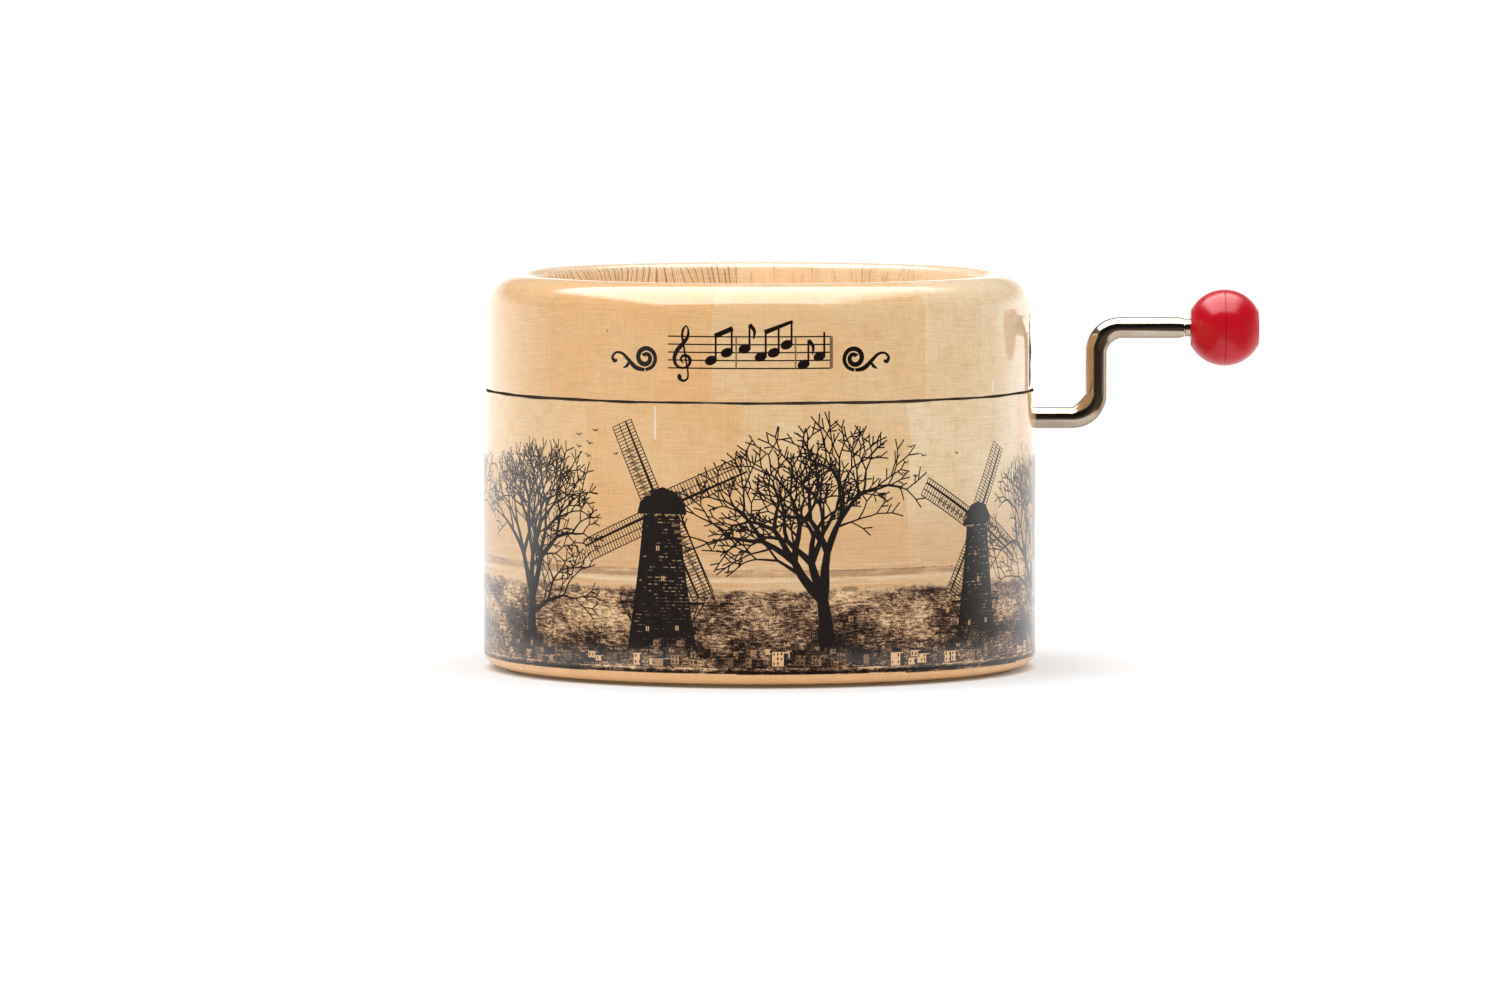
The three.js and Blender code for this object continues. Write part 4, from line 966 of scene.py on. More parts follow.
def lid_artwork():
    """Marks of the lid's print: a line of music between two scrolls."""
    marks = []
    left, right = STAFF_ENDS
    for i in range(5):
        v = LOW_LINE + i * LINE_GAP
        marks += drawn([(left, v), (right, v)], 0.17, 0.95)
    clef_u, g_line = -9.6, LOW_LINE + LINE_GAP
    marks += drawn(*curve([(clef_u + x * LINE_GAP * 0.95, g_line + y * LINE_GAP * 0.95, w * 1.25)
                           for x, y, w in CLEF]))

    def level(step):
        return LOW_LINE + step * LINE_GAP / 2

    for u, step in [note for group in NOTES for note in group]:
        marks.append((ellipse(u, level(step), 0.8, 0.58, tilt=22), 1.0, 0.0))
    for number, group in enumerate(NOTES):
        tops = [(u + 0.6, level(step) + 3.0) for u, step in group]
        (first_u, first_v), (last_u, last_v) = tops[0], tops[-1]
        for (stem_u, _), (_, step) in zip(tops, group):
            share = (stem_u - first_u) / ((last_u - first_u) or 1.0)
            marks += drawn([(stem_u, level(step)),
                            (stem_u, first_v + (last_v - first_v) * share)], 0.26)
        if len(group) > 1:
            marks += drawn([(first_u - 0.13, first_v), (last_u + 0.13, last_v)], 0.62)
        elif number in FLAGGED:
            marks += drawn(*curve([(first_u, first_v, 0.5), (first_u + 0.6, first_v - 0.8, 0.42),
                                   (first_u + 0.5, first_v - 1.8, 0.16)], 4))
    for bar_u, width in ((-2.95, 0.2), (4.4, 0.2), (right, 0.42)):
        marks += drawn([(bar_u, LOW_LINE), (bar_u, LOW_LINE + 4 * LINE_GAP)], width, 0.8)
    marks += scroll(-14.6, 40.9, 1) + scroll(11.9, 40.9, -1)
    # a short white scuff above the seam
    marks.append(block(34.5, 36.0, 0.14, 1.5, pale=1.0))
    return marks


def joint_shadow_sliver(bottom, top, start_u, wide):
    """Painted shadow of the joint: dark ink on the lower end of the paper, where it shows beside the
    overlap, without its film.
    """
    chance = random.Random(3)
    left = start_u + 0.06
    steps = 50
    right = []
    for i in range(steps + 1):
        v = bottom + 0.35 + (top - bottom - 0.7) * i / steps
        swell = math.sin(math.pi * min(1.0, 0.12 + i / steps))
        uneven = 0.9 + 0.16 * math.sin(i * 0.33) + chance.uniform(-0.07, 0.07)
        right.append((left + wide * (0.4 + 0.6 * swell) * uneven, v))
    # painted shadow of the joint, in dark ink
    marks = [([(left, low[1]), low, high, (left, high[1])], 1.0, -1.0)
             for low, high in zip(right, right[1:])]
    for _ in range(int((top - bottom) * 1.2)):
        v = chance.uniform(bottom + 0.6, top - 1.0)
        marks.append(block(start_u + chance.uniform(0.35, 0.8) * wide, v, 0.16,
                           chance.uniform(0.3, 0.8), ink=0.5, pale=-1.0))
    return marks


def on_top(points, outlines):
    """For each (u, v) point the number of the last outline that it lies in, or -1."""
    order = np.argsort(points[:, 0])
    sorted_u = points[order, 0]
    top = np.full(len(points), -1)
    for number, outline in enumerate(outlines):
        shape = np.array(outline)
        first, last = np.searchsorted(sorted_u, (shape[:, 0].min(), shape[:, 0].max()))
        near_by = order[first:last]
        u, v = points[near_by].T
        inside = np.zeros(len(near_by), dtype=bool)
        for (u0, v0), (u1, v1) in zip(shape, np.roll(shape, -1, axis=0)):
            if v0 != v1:
                inside ^= ((v0 > v) != (v1 > v)) & (u < (u1 - u0) * (v - v0) / (v1 - v0) + u0)
        top[near_by[inside]] = number
    return top


def triangulate(places, edges, outlines):
    """Cuts the plane along edges into triangles and says which outline is on top of each."""
    points, _, triangles, *_ = delaunay_2d_cdt(
        [Vector(place) for place in places], edges, [], 0, 1e-4, False)
    points = np.array([(p.x, p.y) for p in points])
    triangles = np.array(triangles)
    return points, triangles, on_top(points[triangles].mean(axis=1), outlines)


def borders_of_kinds(points, triangles, kinds):
    """The edges between triangles of different kinds, without corners where they hardly bend."""
    hardly = 0.006
    sides = np.sort(np.concatenate([triangles[:, pair] for pair in ([0, 1], [1, 2], [2, 0])]))
    kinds = np.tile(kinds, 3)
    order = np.lexsort((sides[:, 1], sides[:, 0]))
    sides, kinds = sides[order], kinds[order]
    shared = np.all(sides[1:] == sides[:-1], axis=1)
    borders = sides[:-1][shared & (kinds[1:] != kinds[:-1])]
    ends = {}
    for a, b in borders.tolist():
        ends.setdefault(a, set()).add(b)
        ends.setdefault(b, set()).add(a)
    for corner in list(ends):
        if len(ends[corner]) != 2:
            continue
        a, b = ends[corner]
        (au, av), (bu, bv), (u, v) = points[a], points[b], points[corner]
        length = math.hypot(bu - au, bv - av)
        away = abs((bu - au) * (av - v) - (au - u) * (bv - av)) / (length or 1.0)
        if length and away < hardly and b not in ends[a]:
            del ends[corner]
            for one, other in ((a, b), (b, a)):
                ends[one].remove(corner)
                ends[one].add(other)
    return [(a, b) for a, others in ends.items() for b in others if a < b]


def flat_sheet(bottom, top, start_u, length, columns, outlines, kinds):
    """Cuts a flat paper into triangles that follow its print, and says which outline is on top.

    Outlines of one kind that overlap are joined first, and only their common border is kept.
    """
    margin = 0.02
    low, high = (start_u + margin, bottom + margin), (start_u + length - margin, top - margin)
    outlines = [np.clip(outline, low, high) for outline in outlines]
    places = [(start_u, bottom), (start_u + length, bottom), (start_u + length, top), (start_u, top)]
    edges = [(0, 1), (1, 2), (2, 3), (3, 0)]
    for outline in outlines:
        first, count = len(places), len(outline)
        places += list(outline)
        edges += [(first + i, first + (i + 1) % count) for i in range(count)]
    points, triangles, owners = triangulate(places, edges, outlines)
    borders = borders_of_kinds(points, triangles, np.array([*kinds, -1])[owners])

    places = [(start_u + length * i / columns, v) for i in range(columns + 1) for v in (bottom, top)]
    edges = [(2 * i, 2 * i + 1) for i in range(columns + 1)]
    edges += [(2 * i + k, 2 * i + 2 + k) for i in range(columns) for k in (LOW, HIGH)]
    numbers = {}
    for border in borders:
        for end in border:
            if end not in numbers:
                numbers[end] = len(places)
                places.append(points[end])
        edges.append((numbers[border[0]], numbers[border[1]]))
    return triangulate(places, edges, outlines)


class Skin:
    """A closed paper skin round the box, gathered face by face. Corners that meet are shared.

    A ring round the box is (r, z, normal r, normal z, v, whether it is on the outside).
    Each kind of skin has its own relief, which says how far its paper stands proud.
    """

    def __init__(self, radius, joint, columns, tone_edges, tones):
        self.radius, self.columns = radius, columns
        self.start = joint - TURN
        self.start_u, self.length = radius * self.start, TURN * radius
        self.tone_edges, self.tones = tone_edges, tones
        self.numbers, self.places, self.normals = {}, [], []
        self.faces, self.maps, self.outer = [], [], []
        self.marked = {"ink": [], "pale": [], "tint": []}

    def point(self, ring, column):
        """The number of a corner on a ring and a column of the sheet, and its place on the paper."""
        r, z, normal_r, normal_z, v, outer = ring
        angle = self.start + TURN * column / self.columns
        lift, drop = self.relief(angle, column, r, z, v, outer)
        r, z = r + normal_r * lift, z + normal_z * lift + drop
        place = (r * math.sin(angle), -r * math.cos(angle), z)
        key = tuple(round(c, 4) for c in place)
        if key not in self.numbers:
            self.numbers[key] = len(self.places)
            self.places.append(place)
            self.normals.append((normal_r * math.sin(angle), -normal_r * math.cos(angle), normal_z))
        return self.numbers[key], (self.radius * angle, v)

    def face(self, corners, ink=0.0, pale=0.0, outer=True):
        numbers = [number for number, _ in corners]
        kept = [i for i, n in enumerate(numbers) if n != numbers[i - 1]]
        if len(kept) < 3 or len(set(numbers[i] for i in kept)) < len(kept):
            return
        self.faces.append([numbers[i] for i in kept])
        self.maps.append([corners[i][1] for i in kept])
        self.outer.append(outer)
        u = sum(corners[i][1][0] for i in kept) / len(kept)
        tint = self.tones[sum(u > edge for edge in self.tone_edges)]
        for label, value in (("ink", ink), ("pale", pale), ("tint", tint)):
            self.marked[label].append(value)

    def wall(self, radius, bottom, top, marks, outer=True, hole=None):
        """The straight wall, with its print on the outside or bare on the inside."""
        ink_steps, touching = 4, 1e-3
        marks = [(outline, round(ink * ink_steps) / ink_steps, pale) for outline, ink, pale in marks]
        tones = sorted({mark[1:] for mark in marks})
        outlines = [mark[0] for mark in marks] + ([hole] if hole else [])
        kinds = [tones.index(mark[1:]) for mark in marks] + ([len(tones)] if hole else [])
        points, triangles, owners = flat_sheet(
            bottom, top, self.start_u, self.length, self.columns, outlines, kinds)
        facing = 1 if outer else -1
        corners = []
        for u, v in points:
            column = (u - self.start_u) / self.length * self.columns
            if min(abs(v - bottom), abs(v - top)) < touching:
                column = round(column)
                v = bottom if abs(v - bottom) < touching else top
            corners.append(self.point((radius, v, facing, 0, v, outer), column))
        for triangle, owner in zip(triangles, owners):
            if hole and owner == len(marks):
                continue
            _, ink, pale = marks[owner] if owner >= 0 else (None, 0.0, 0.0)
            shape = [corners[i] for i in (triangle if outer else triangle[::-1])]
            self.face(shape, ink, pale, outer)
        # the step where one end of the paper lies over the other
        self.face([self.point((radius, v, facing, 0, v, outer), column) for v, column in (
            (bottom, self.columns), (bottom, 0), (top, 0), (top, self.columns))], outer=False)

    def rings(self, rings, pale=0.0):
        """Joins each ring to the next round the whole box."""
        rows = [[self.point(ring, i) for i in range(self.columns + 1)] for ring in rings]
        for (low, high), (low_ring, high_ring) in zip(zip(rows, rows[1:]), zip(rings, rings[1:])):
            outer = low_ring[-1] and high_ring[-1]
            for i in range(self.columns):
                self.face([low[i], low[i + 1], high[i + 1], high[i]], pale=pale, outer=outer)
            self.face([low[-1], low[0], high[0], high[-1]], outer=False)

    def build(self, name):
        mesh = bpy.data.meshes.new(name)
        mesh.from_pydata([Vector(p) * MM for p in self.places], [], self.faces)
        layer = mesh.uv_layers.new(name="paper")
        layer.uv.foreach_set("vector", [c for face in self.maps for uv in face for c in uv])
        for label, values in self.marked.items():
            mesh.attributes.new(label, "FLOAT", "FACE").data.foreach_set("value", values)
        piece = added(name, mesh)
        start(piece)
        bpy.ops.object.shade_smooth_by_angle(angle=math.radians(50))
        normals = np.empty(len(mesh.loops) * 3, dtype=np.float32)
        mesh.corner_normals.foreach_get("vector", normals)
        normals = normals.reshape(-1, 3)
        corner = 0
        for face, outer in zip(self.faces, self.outer):
            if outer:
                normals[corner:corner + len(face)] = [self.normals[number] for number in face]
            corner += len(face)
        mesh.normals_split_custom_set([Vector(n) for n in normals])
        return piece


def joint_lift(column, columns):
    """The lower end of the paper lies a step deeper and rises again in a part of the round."""
    part = 24
    away = column / columns * part
    return -JOINT_STEP * max(0.0, 1 - away) ** 2


def waves(angle, seed):
    """A gentle unevenness round the box, from -1 to 1."""
    return sum(
        math.sin(count * angle + seed * (k + 1.3)) / 3
        for k, count in enumerate((5, 13, 29)))


def near(value, level, reach):
    """1 at a level, falling to 0 at a distance from it."""
    share = max(0.0, 1 - abs(value - level) / reach)
    return share * share * (3 - 2 * share)


def bend(centre_r, centre_z, edge, first, way, v, steps, outer):
    """Rings of a paper that goes a quarter of a turn round an edge, on its outside or inside."""
    facing, radius = (1, edge) if outer else (-1, edge - PAPER)
    rings = []
    for i in range(steps + 1):
        along = QUARTER * i / steps
        out, up = math.cos(first + way * along), math.sin(first + way * along)
        rings.append((centre_r + radius * out, centre_z + radius * up, facing * out, facing * up,
                      v + way * edge * along, outer))
    return rings


class BodySkin(Skin):
    def relief(self, angle, column, r, z, v, outer):
        """How far the paper stands proud and how far it is shifted up."""
        lift = joint_lift(column, self.columns) if outer else 0.0
        drop = (0.10 * waves(angle, 2) - 0.02) * near(z, BODY_TOP, 3.0)
        return lift, drop


def body_wrap():
    """The body's printed paper, turned in under the bottom and holed for the crank."""
    skin = BodySkin(BODY_RADIUS, BODY_JOINT, 240, BODY_TINT_EDGES, BODY_TINTS)
    edge_r, edge_z = BODY_RADIUS - BOTTOM_EDGE, FOLD_LEVEL + BOTTOM_EDGE
    hole_angle = math.asin(CRANK_Y / BODY_RADIUS) + QUARTER - TURN
    hole = ellipse(BODY_RADIUS * hole_angle, CRANK_Z, ROD_HOLE_RADIUS / math.sin(hole_angle),
                   ROD_HOLE_RADIUS, corners=32)
    marks = []
    start_margin, end_margin = 0.5, 0.3
    for outline, ink, pale in body_artwork():
        # what would lie beyond the joint goes to the other end of the paper
        beyond = max(u for u, _ in outline) > skin.start_u + skin.length - end_margin
        moved = [(u - skin.length, v) for u, v in outline] if beyond else outline
        if min(u for u, _ in moved) > skin.start_u + start_margin:
            marks.append((moved, ink, pale))
    marks += joint_shadow_sliver(edge_z, BODY_TOP, skin.start_u, 0.9)
    skin.wall(BODY_RADIUS, edge_z, BODY_TOP, marks, hole=hole)
    skin.wall(BODY_RADIUS - PAPER, edge_z, BODY_TOP, [], outer=False, hole=hole)

    fold_end = edge_r - BOTTOM_TURN_IN
    v_end = edge_z - BOTTOM_EDGE * QUARTER - BOTTOM_TURN_IN
    outside = bend(edge_r, edge_z, BOTTOM_EDGE, 0, -1, edge_z, 8, True)
    outside.append((fold_end, FOLD_LEVEL, 0, -1, v_end, True))
    inside = bend(edge_r, edge_z, BOTTOM_EDGE, 0, -1, edge_z, 8, False)
    inside.append((fold_end, FOLD_LEVEL + PAPER, 0, 1, v_end, False))
    skin.rings(outside[::-1])
    skin.rings([*inside, outside[-1]])
    skin.rings([(BODY_RADIUS, BODY_TOP, 1, 0, BODY_TOP, True),
                (BODY_RADIUS - PAPER, BODY_TOP, -1, 0, BODY_TOP, False)], pale=0.85)
    piece = skin.build("printed_body_paper")
    close_hole(piece)
    finished(piece, "printed_body_paper", "box", "printed_paper", "body_wrap",
             finish="body_print", smooth=0)


def close_hole(piece):
    """Bridges the two open rims that a hole leaves in a skin."""
    shape = bmesh.new()
    shape.from_mesh(piece.data)
    bmesh.ops.bridge_loops(shape, edges=[edge for edge in shape.edges if edge.is_boundary])
    shape.to_mesh(piece.data)
    shape.free()


class LidSkin(Skin):
    """The lid's paper: pleated where it is drawn in over the rim."""

    def __init__(self, *sizes):
        super().__init__(*sizes)
        chance = random.Random(12)
        self.around = TURN * RECESS_RADIUS
        self.pleats = []
        place = 0.0
        while place < self.around:
            self.pleats.append((
                place, chance.uniform(0.03, 0.1) * chance.choice((0.4, 0.7, 1, 1.6)),
                chance.uniform(0.15, 0.5), chance.uniform(-0.9, 0.9), chance.uniform(0, 2.0)))
            place += chance.choice((0.4, 0.6, 0.9, 1.4, 2.2)) * chance.uniform(0.7, 1.3)
        self.folds = {}

    def relief(self, angle, column, r, z, v, outer):
        """How far the paper stands proud and how far it is shifted up."""
        drop = 0.06 * waves(angle, 5) * near(z, LID_BOTTOM, 3.0)
        lift = joint_lift(column, self.columns) if outer else 0.0
        if v > SHOULDER_END:
            drawn_in = min(1.0, max(0.0, (RIM_START + 0.5 - r) / 1.2))
            lift += (self.fold(v)[column % self.columns] - 0.12) * drawn_in * (1 if outer else -1)
        return lift, drop

    def fold(self, v):
        """How high the pleats stand at each column of the paper."""
        level = round(v, 3)
        if level not in self.folds:
            down = max(0.0, v - RIM_TOP_V)
            places = np.arange(self.columns) / self.columns * self.around
            height = np.zeros(self.columns)
            for at, depth, width, lean, start_down in self.pleats:
                shifted = places - at - lean * down / 3 + self.around / 2
                away = shifted % self.around - self.around / 2
                rise = depth * min(1.0, 0.3 + down / (start_down + 0.4))
                height += rise * np.exp(-np.abs(away) / np.where(away > 0, width, 0.12))
            self.folds[level] = np.minimum(height, 0.24)
        return self.folds[level]


def lid_wrap():
    """The lid's printed paper, drawn in over the rim and turned in under the top paper."""
    skin = LidSkin(LID_RADIUS, LID_JOINT, 720, LID_TINT_EDGES, LID_TINTS)
    crest = LID_TOP - SHOULDER
    marks = lid_artwork() + joint_shadow_sliver(LID_BOTTOM, crest, skin.start_u, 2.3)
    skin.wall(LID_RADIUS, LID_BOTTOM, crest, marks)

    def over_rim(outer):
        """Rings over the shoulder and the crown, down the wall and in under the top paper."""
        facing, inset = (1, 0) if outer else (-1, PAPER)
        edge_z = LID_TOP - RIM_EDGE
        rings = bend(RIM_START, crest, SHOULDER, 0, 1, crest, 20, outer)
        rings += bend(RECESS_RADIUS + RIM_EDGE, edge_z, RIM_EDGE, QUARTER, 1, RIM_TOP_V, 8, outer)
        edge_v = RIM_TOP_V + RIM_EDGE * QUARTER
        foot = LID_FOLD_LEVEL + (PAPER if outer else 0)
        steps = 6
        for i in range(1, steps + 1):
            z = edge_z + (foot - edge_z) * i / steps
            rings.append((RECESS_RADIUS + inset, z, -facing, 0, edge_v + edge_z - z, outer))
        rings.append((RECESS_RADIUS - LID_TURN_IN, foot, 0, facing,
                      edge_v + edge_z - foot + LID_TURN_IN, outer))
        return rings

    outside, inside = over_rim(True), over_rim(False)
    skin.rings(outside)
    bottom_in = (LID_RADIUS - PAPER, LID_BOTTOM, -1, 0, LID_BOTTOM, False)
    skin.rings([outside[-1], *inside[::-1], bottom_in])
    skin.rings([bottom_in, (LID_RADIUS, LID_BOTTOM, 1, 0, LID_BOTTOM, True)], pale=0.85)
    piece = skin.build("printed_lid_paper")
    finished(piece, "printed_lid_paper", "lid", "printed_paper", "lid_wrap",
             finish="lid_print", smooth=0)


body_wrap()
lid_wrap()


# Cardboard parts that show

SEAM_BEVEL = 0.9
SOFT_EDGE = 0.15


def body_board():
    """The tube of the body, with its bevelled upper edge that shows at the seam."""
    outer = side("body_tube", HIGH, X)
    bottom, top = both_sides("body_tube", Z)
    inner = outer - 2.0
    edge = BOTTOM_EDGE - PAPER - PAPER_GAP
    piece = turned([
        (inner, bottom), *arc(outer - edge, bottom + edge, edge, -90, 0, 6),
        (outer, top - SEAM_BEVEL), (outer - SEAM_BEVEL, top), (inner + SOFT_EDGE, top),
        (inner, top - SOFT_EDGE),
    ], 160)
    drill_rod_hole(piece)
    finished(piece, "body_board_tube", "box", "grey_board", "body_tube")


def neck_board():
    """The tube inside the body that stands up into the lid."""
    outer = side("neck_tube", HIGH, X)
    bottom, top = both_sides("neck_tube", Z)
    inner, chamfer, soft = outer - 1.2, 0.4, 0.12
    piece = turned([
        (inner, bottom), (outer, bottom), (outer, top - chamfer), (outer - soft, top - soft),
        (outer - chamfer, top), (inner + soft, top), (inner, top - soft),
    ], 160)
    drill_rod_hole(piece)
    finished(piece, "neck_board_tube", "box", "grey_board", "neck_tube")


def lid_board():
    """The tube of the lid, with its bevelled lower edge."""
    outer = side("lid_tube", HIGH, X)
    inner = outer - 1.5
    bottom, top = both_sides("lid_tube", Z)
    piece = turned([
        (inner + SOFT_EDGE, bottom), (outer - SEAM_BEVEL, bottom), (outer, bottom + SEAM_BEVEL),
        (outer, top), (inner, top), (inner, bottom + SOFT_EDGE),
    ], 160)
    finished(piece, "lid_board_tube", "lid", "grey_board", "lid_tube")


def paper_disc(name, node, body, slot, finish=None, wave=0.0, seed=1):
    """A round paper, cut by hand: its edge is a little uneven and its face nearly flat."""
    radius = side(node, HIGH, X)
    bottom, top = both_sides(node, Z)
    soft = 0.05
    rings = [radius * share for share in (0.04, 0.3, 0.55, 0.75, 0.9)]
    piece = turned([
        (0, top), *[(r, top) for r in rings], (radius - soft, top), (radius, top - soft),
        (radius, bottom + soft), (radius - soft, bottom), *[(r, bottom) for r in rings[::-1]],
        (0, bottom),
    ], 160)
    for corner in piece.data.vertices:
        x, y, z = corner.co / MM
        angle, share = math.atan2(x, -y), math.hypot(x, y) / radius
        shrink = 1 - 0.0012 * (1 + waves(angle, seed)) * share
        lift = -wave * (1 + waves(angle, seed + 3)) * share ** 3
        corner.co = Vector((x * shrink, y * shrink, z + lift)) * MM
    lay_flat(piece)
    finished(piece, name, body, slot, node, finish=finish)


def lay_flat(piece):
    """Gives a flat paper the map of the printed papers, straight from above."""
    layer = piece.data.uv_layers.active
    layer.name = "paper"
    for loop in piece.data.loops:
        corner = piece.data.vertices[loop.vertex_index].co / MM
        layer.uv[loop.index].vector = (corner.x + 140, corner.y + 2 * LID_PAPER_END)
    for label, value in (("tint", 0.3), ("pale", -0.65)):
        layer = piece.data.attributes.new(label, "FLOAT", "FACE")
        layer.data.foreach_set("value", [value] * len(piece.data.polygons))


# Crank and knob

UPRIGHT_X = 42.9
BEND = 3.0
ROD_CHAMFER = 0.35
HANDLE_AXIS = (0, CRANK_Y, HANDLE_Z)


def push(value):
    """Extrudes what is selected by millimetres along x, y and z."""
    bpy.ops.mesh.extrude_region_move(TRANSFORM_OT_translate={"value": Vector(value) * MM})


def swell(share, x, z):
    """Makes the rod's end face, at x and z, larger or smaller."""
    bpy.ops.transform.resize(
        value=(1, share, share), center_override=Vector((x, CRANK_Y, z)) * MM)


def spin(way, x, z):
    """Spins the rod's end face a quarter of a turn round a point beside it."""
    bpy.ops.mesh.spin(
        steps=18, angle=QUARTER, axis=(0, way, 0), center=Vector((x, CRANK_Y, z)) * MM)


def crank_rod():
    """A round bar that is extruded, and spun round its two bends."""
    start_x, end_x = both_sides("crank_rod", X)
    start()
    bpy.ops.mesh.primitive_circle_add(
        vertices=40, radius=(ROD_RADIUS - ROD_CHAMFER) * MM, fill_type="NGON",
        location=Vector((start_x, CRANK_Y, CRANK_Z)) * MM, rotation=(0, QUARTER, 0))
    piece = bpy.context.object
    settle()
    edit()
    push((ROD_CHAMFER, 0, 0))
    swell(ROD_RADIUS / (ROD_RADIUS - ROD_CHAMFER), start_x + ROD_CHAMFER, CRANK_Z)
    push((UPRIGHT_X - BEND - start_x - ROD_CHAMFER, 0, 0))
    spin(1, UPRIGHT_X - BEND, CRANK_Z + BEND)
    push((0, 0, HANDLE_Z - CRANK_Z - 2 * BEND))
    spin(-1, UPRIGHT_X + BEND, HANDLE_Z - BEND)
    push((end_x - UPRIGHT_X - BEND - 2 * ROD_CHAMFER, 0, 0))
    push((2 * ROD_CHAMFER, 0, 0))
    swell(1 - ROD_CHAMFER / 2 / ROD_RADIUS, end_x, HANDLE_Z)
    leave_edit()
    outwards(piece)
    pinch(piece, UPRIGHT_X - BEND, CRANK_Z + BEND, -45, 0.8)
    pinch(piece, UPRIGHT_X + BEND, HANDLE_Z - BEND, 135, 0.35)
    finished(piece, "bent_crank_rod", "crank", "nickelled_steel", "crank_rod")


def pinch(piece, centre_x, centre_z, facing, share):
    """Presses the inside of a bend towards a straight flat, as the bending tool leaves it."""
    inner = BEND - ROD_RADIUS
    for corner in piece.data.vertices:
        x, y, z = corner.co / MM
        dx, dz = x - centre_x, z - centre_z
        angle = math.degrees(math.atan2(dz, dx)) - facing
        away = math.hypot(dx, dz)
        if abs(angle) > 45.1 or away > BEND:
            continue
        chord = inner * math.cos(math.pi / 4) / math.cos(math.radians(angle))
        weight = max(0.0, 1 - (away - inner) / (BEND - inner)) ** 1.4
        reach = 1 - (inner - chord) * share * weight / away
        corner.co = Vector((centre_x + dx * reach, y, centre_z + dz * reach)) * MM


def knob():
    """A ball with two flats, bored for its pin, with the line where its mould closed."""
    first, last = both_sides("knob", X)
    radius, centre, half_length = half("knob", Y), middle("knob", X), half("knob", X)
    bore, counterbore, depth = 1.25, half("knob_pin", Y) + 0.2, 1.0
    soft_degrees, soft, seam = 4.0, 0.15, 0.045
    edge = math.degrees(math.asin(half_length / radius)) - soft_degrees
    ball = [(r, centre + x) for r, x in arc(0, 0, radius, -edge, edge, 36)]
    flat = ball[0][0] - 0.35
    shoulder, rise = flat + 0.22, 0.05
    piece = turned([
        (bore + soft, first), (flat, first), (shoulder, first + rise), *ball[:18],
        (radius, centre - seam), (radius - seam, centre), (radius, centre + seam), *ball[19:],
        (shoulder, last - rise), (flat, last), (counterbore + soft, last),
        (counterbore, last - soft), (counterbore, last - depth), (bore, last - depth),
        (bore, first + soft),
    ], 96, X, HANDLE_AXIS)
    finished(piece, "red_ball_knob", "knob", "red_plastic", "knob", smooth=30)


def knob_pin():
    """The rivet with a domed head that holds the knob on the crank."""
    first, last = both_sides("knob_pin", X)
    head = half("knob_pin", Y)
    shaft, tenon, head_height, soft, rim = 1.1, 0.7, 0.5, 0.06, 0.12
    under, shoulder = last - head_height, side("crank_rod", HIGH, X) + 0.1
    domed = ((1.0, 0.15), (0.94, 0.42), (0.8, 0.68), (0.6, 0.86), (0.35, 0.96), (0.1, 1.0))
    piece = turned([
        (0, first), (tenon, first), (tenon, shoulder), (shaft - soft, shoulder),
        (shaft, shoulder + soft), (shaft, under), (head - soft, under), (head, under + soft),
        *[(head * r, under + rim + (head_height - rim) * z) for r, z in domed], (0, last),
    ], 48, X, HANDLE_AXIS)
    finished(piece, "knob_rivet_pin", "crank", "nickelled_steel", "knob_pin")


# Movement

DRUM_X = middle("drum_sleeve", X)
DRUM_Z = middle("drum_arbor", Z)
DRUM_AXIS = (DRUM_X, 0, DRUM_Z)
DRUM_RADIUS = 6.5
DRUM_WALL = 0.8
PIN_TIP = 6.95
SCREW_HEAD = 1.5


def dressed(name, node, body, slot, bevel, angle=38):
    """A copy of a CAD node with its edges broken, which then stands for the node."""
    piece = added(name, frame["nodes"][node].data.copy())
    start(piece)
    edit()
    bpy.ops.mesh.remove_doubles(threshold=2e-6)
    bpy.ops.mesh.dissolve_limited(angle_limit=math.radians(1))
    leave_edit()
    apply_modifier(piece, "BEVEL", width=bevel * MM, segments=2, limit_method="ANGLE",
                   angle_limit=math.radians(angle), use_clamp_overlap=True, harden_normals=False)
    finished(piece, name, body, slot, node, smooth=angle)
    apply_modifier(piece, "WEIGHTED_NORMAL", keep_sharp=True)


def pin_places():
    """Where the drum's pins stand: their place along the drum and their angle round it."""
    proud, pin_width = 0.3, 0.62
    tips = set()
    for corner in frame["nodes"]["drum_sleeve"].data.vertices:
        x, y, z = corner.co / MM
        if math.hypot(x - DRUM_X, z - DRUM_Z) > DRUM_RADIUS + proud:
            tips.add(tuple(round(c, 3) for c in (x, y, z)))
    groups = []
    for tip in sorted(tips):
        for group in groups:
            if math.dist(group[0], tip) < pin_width:
                group.append(tip)
                break
        else:
            groups.append([tip])
    middles = [np.mean(group, axis=0) for group in groups]
    return [(y, math.atan2(x - DRUM_X, z - DRUM_Z)) for x, y, z in middles]


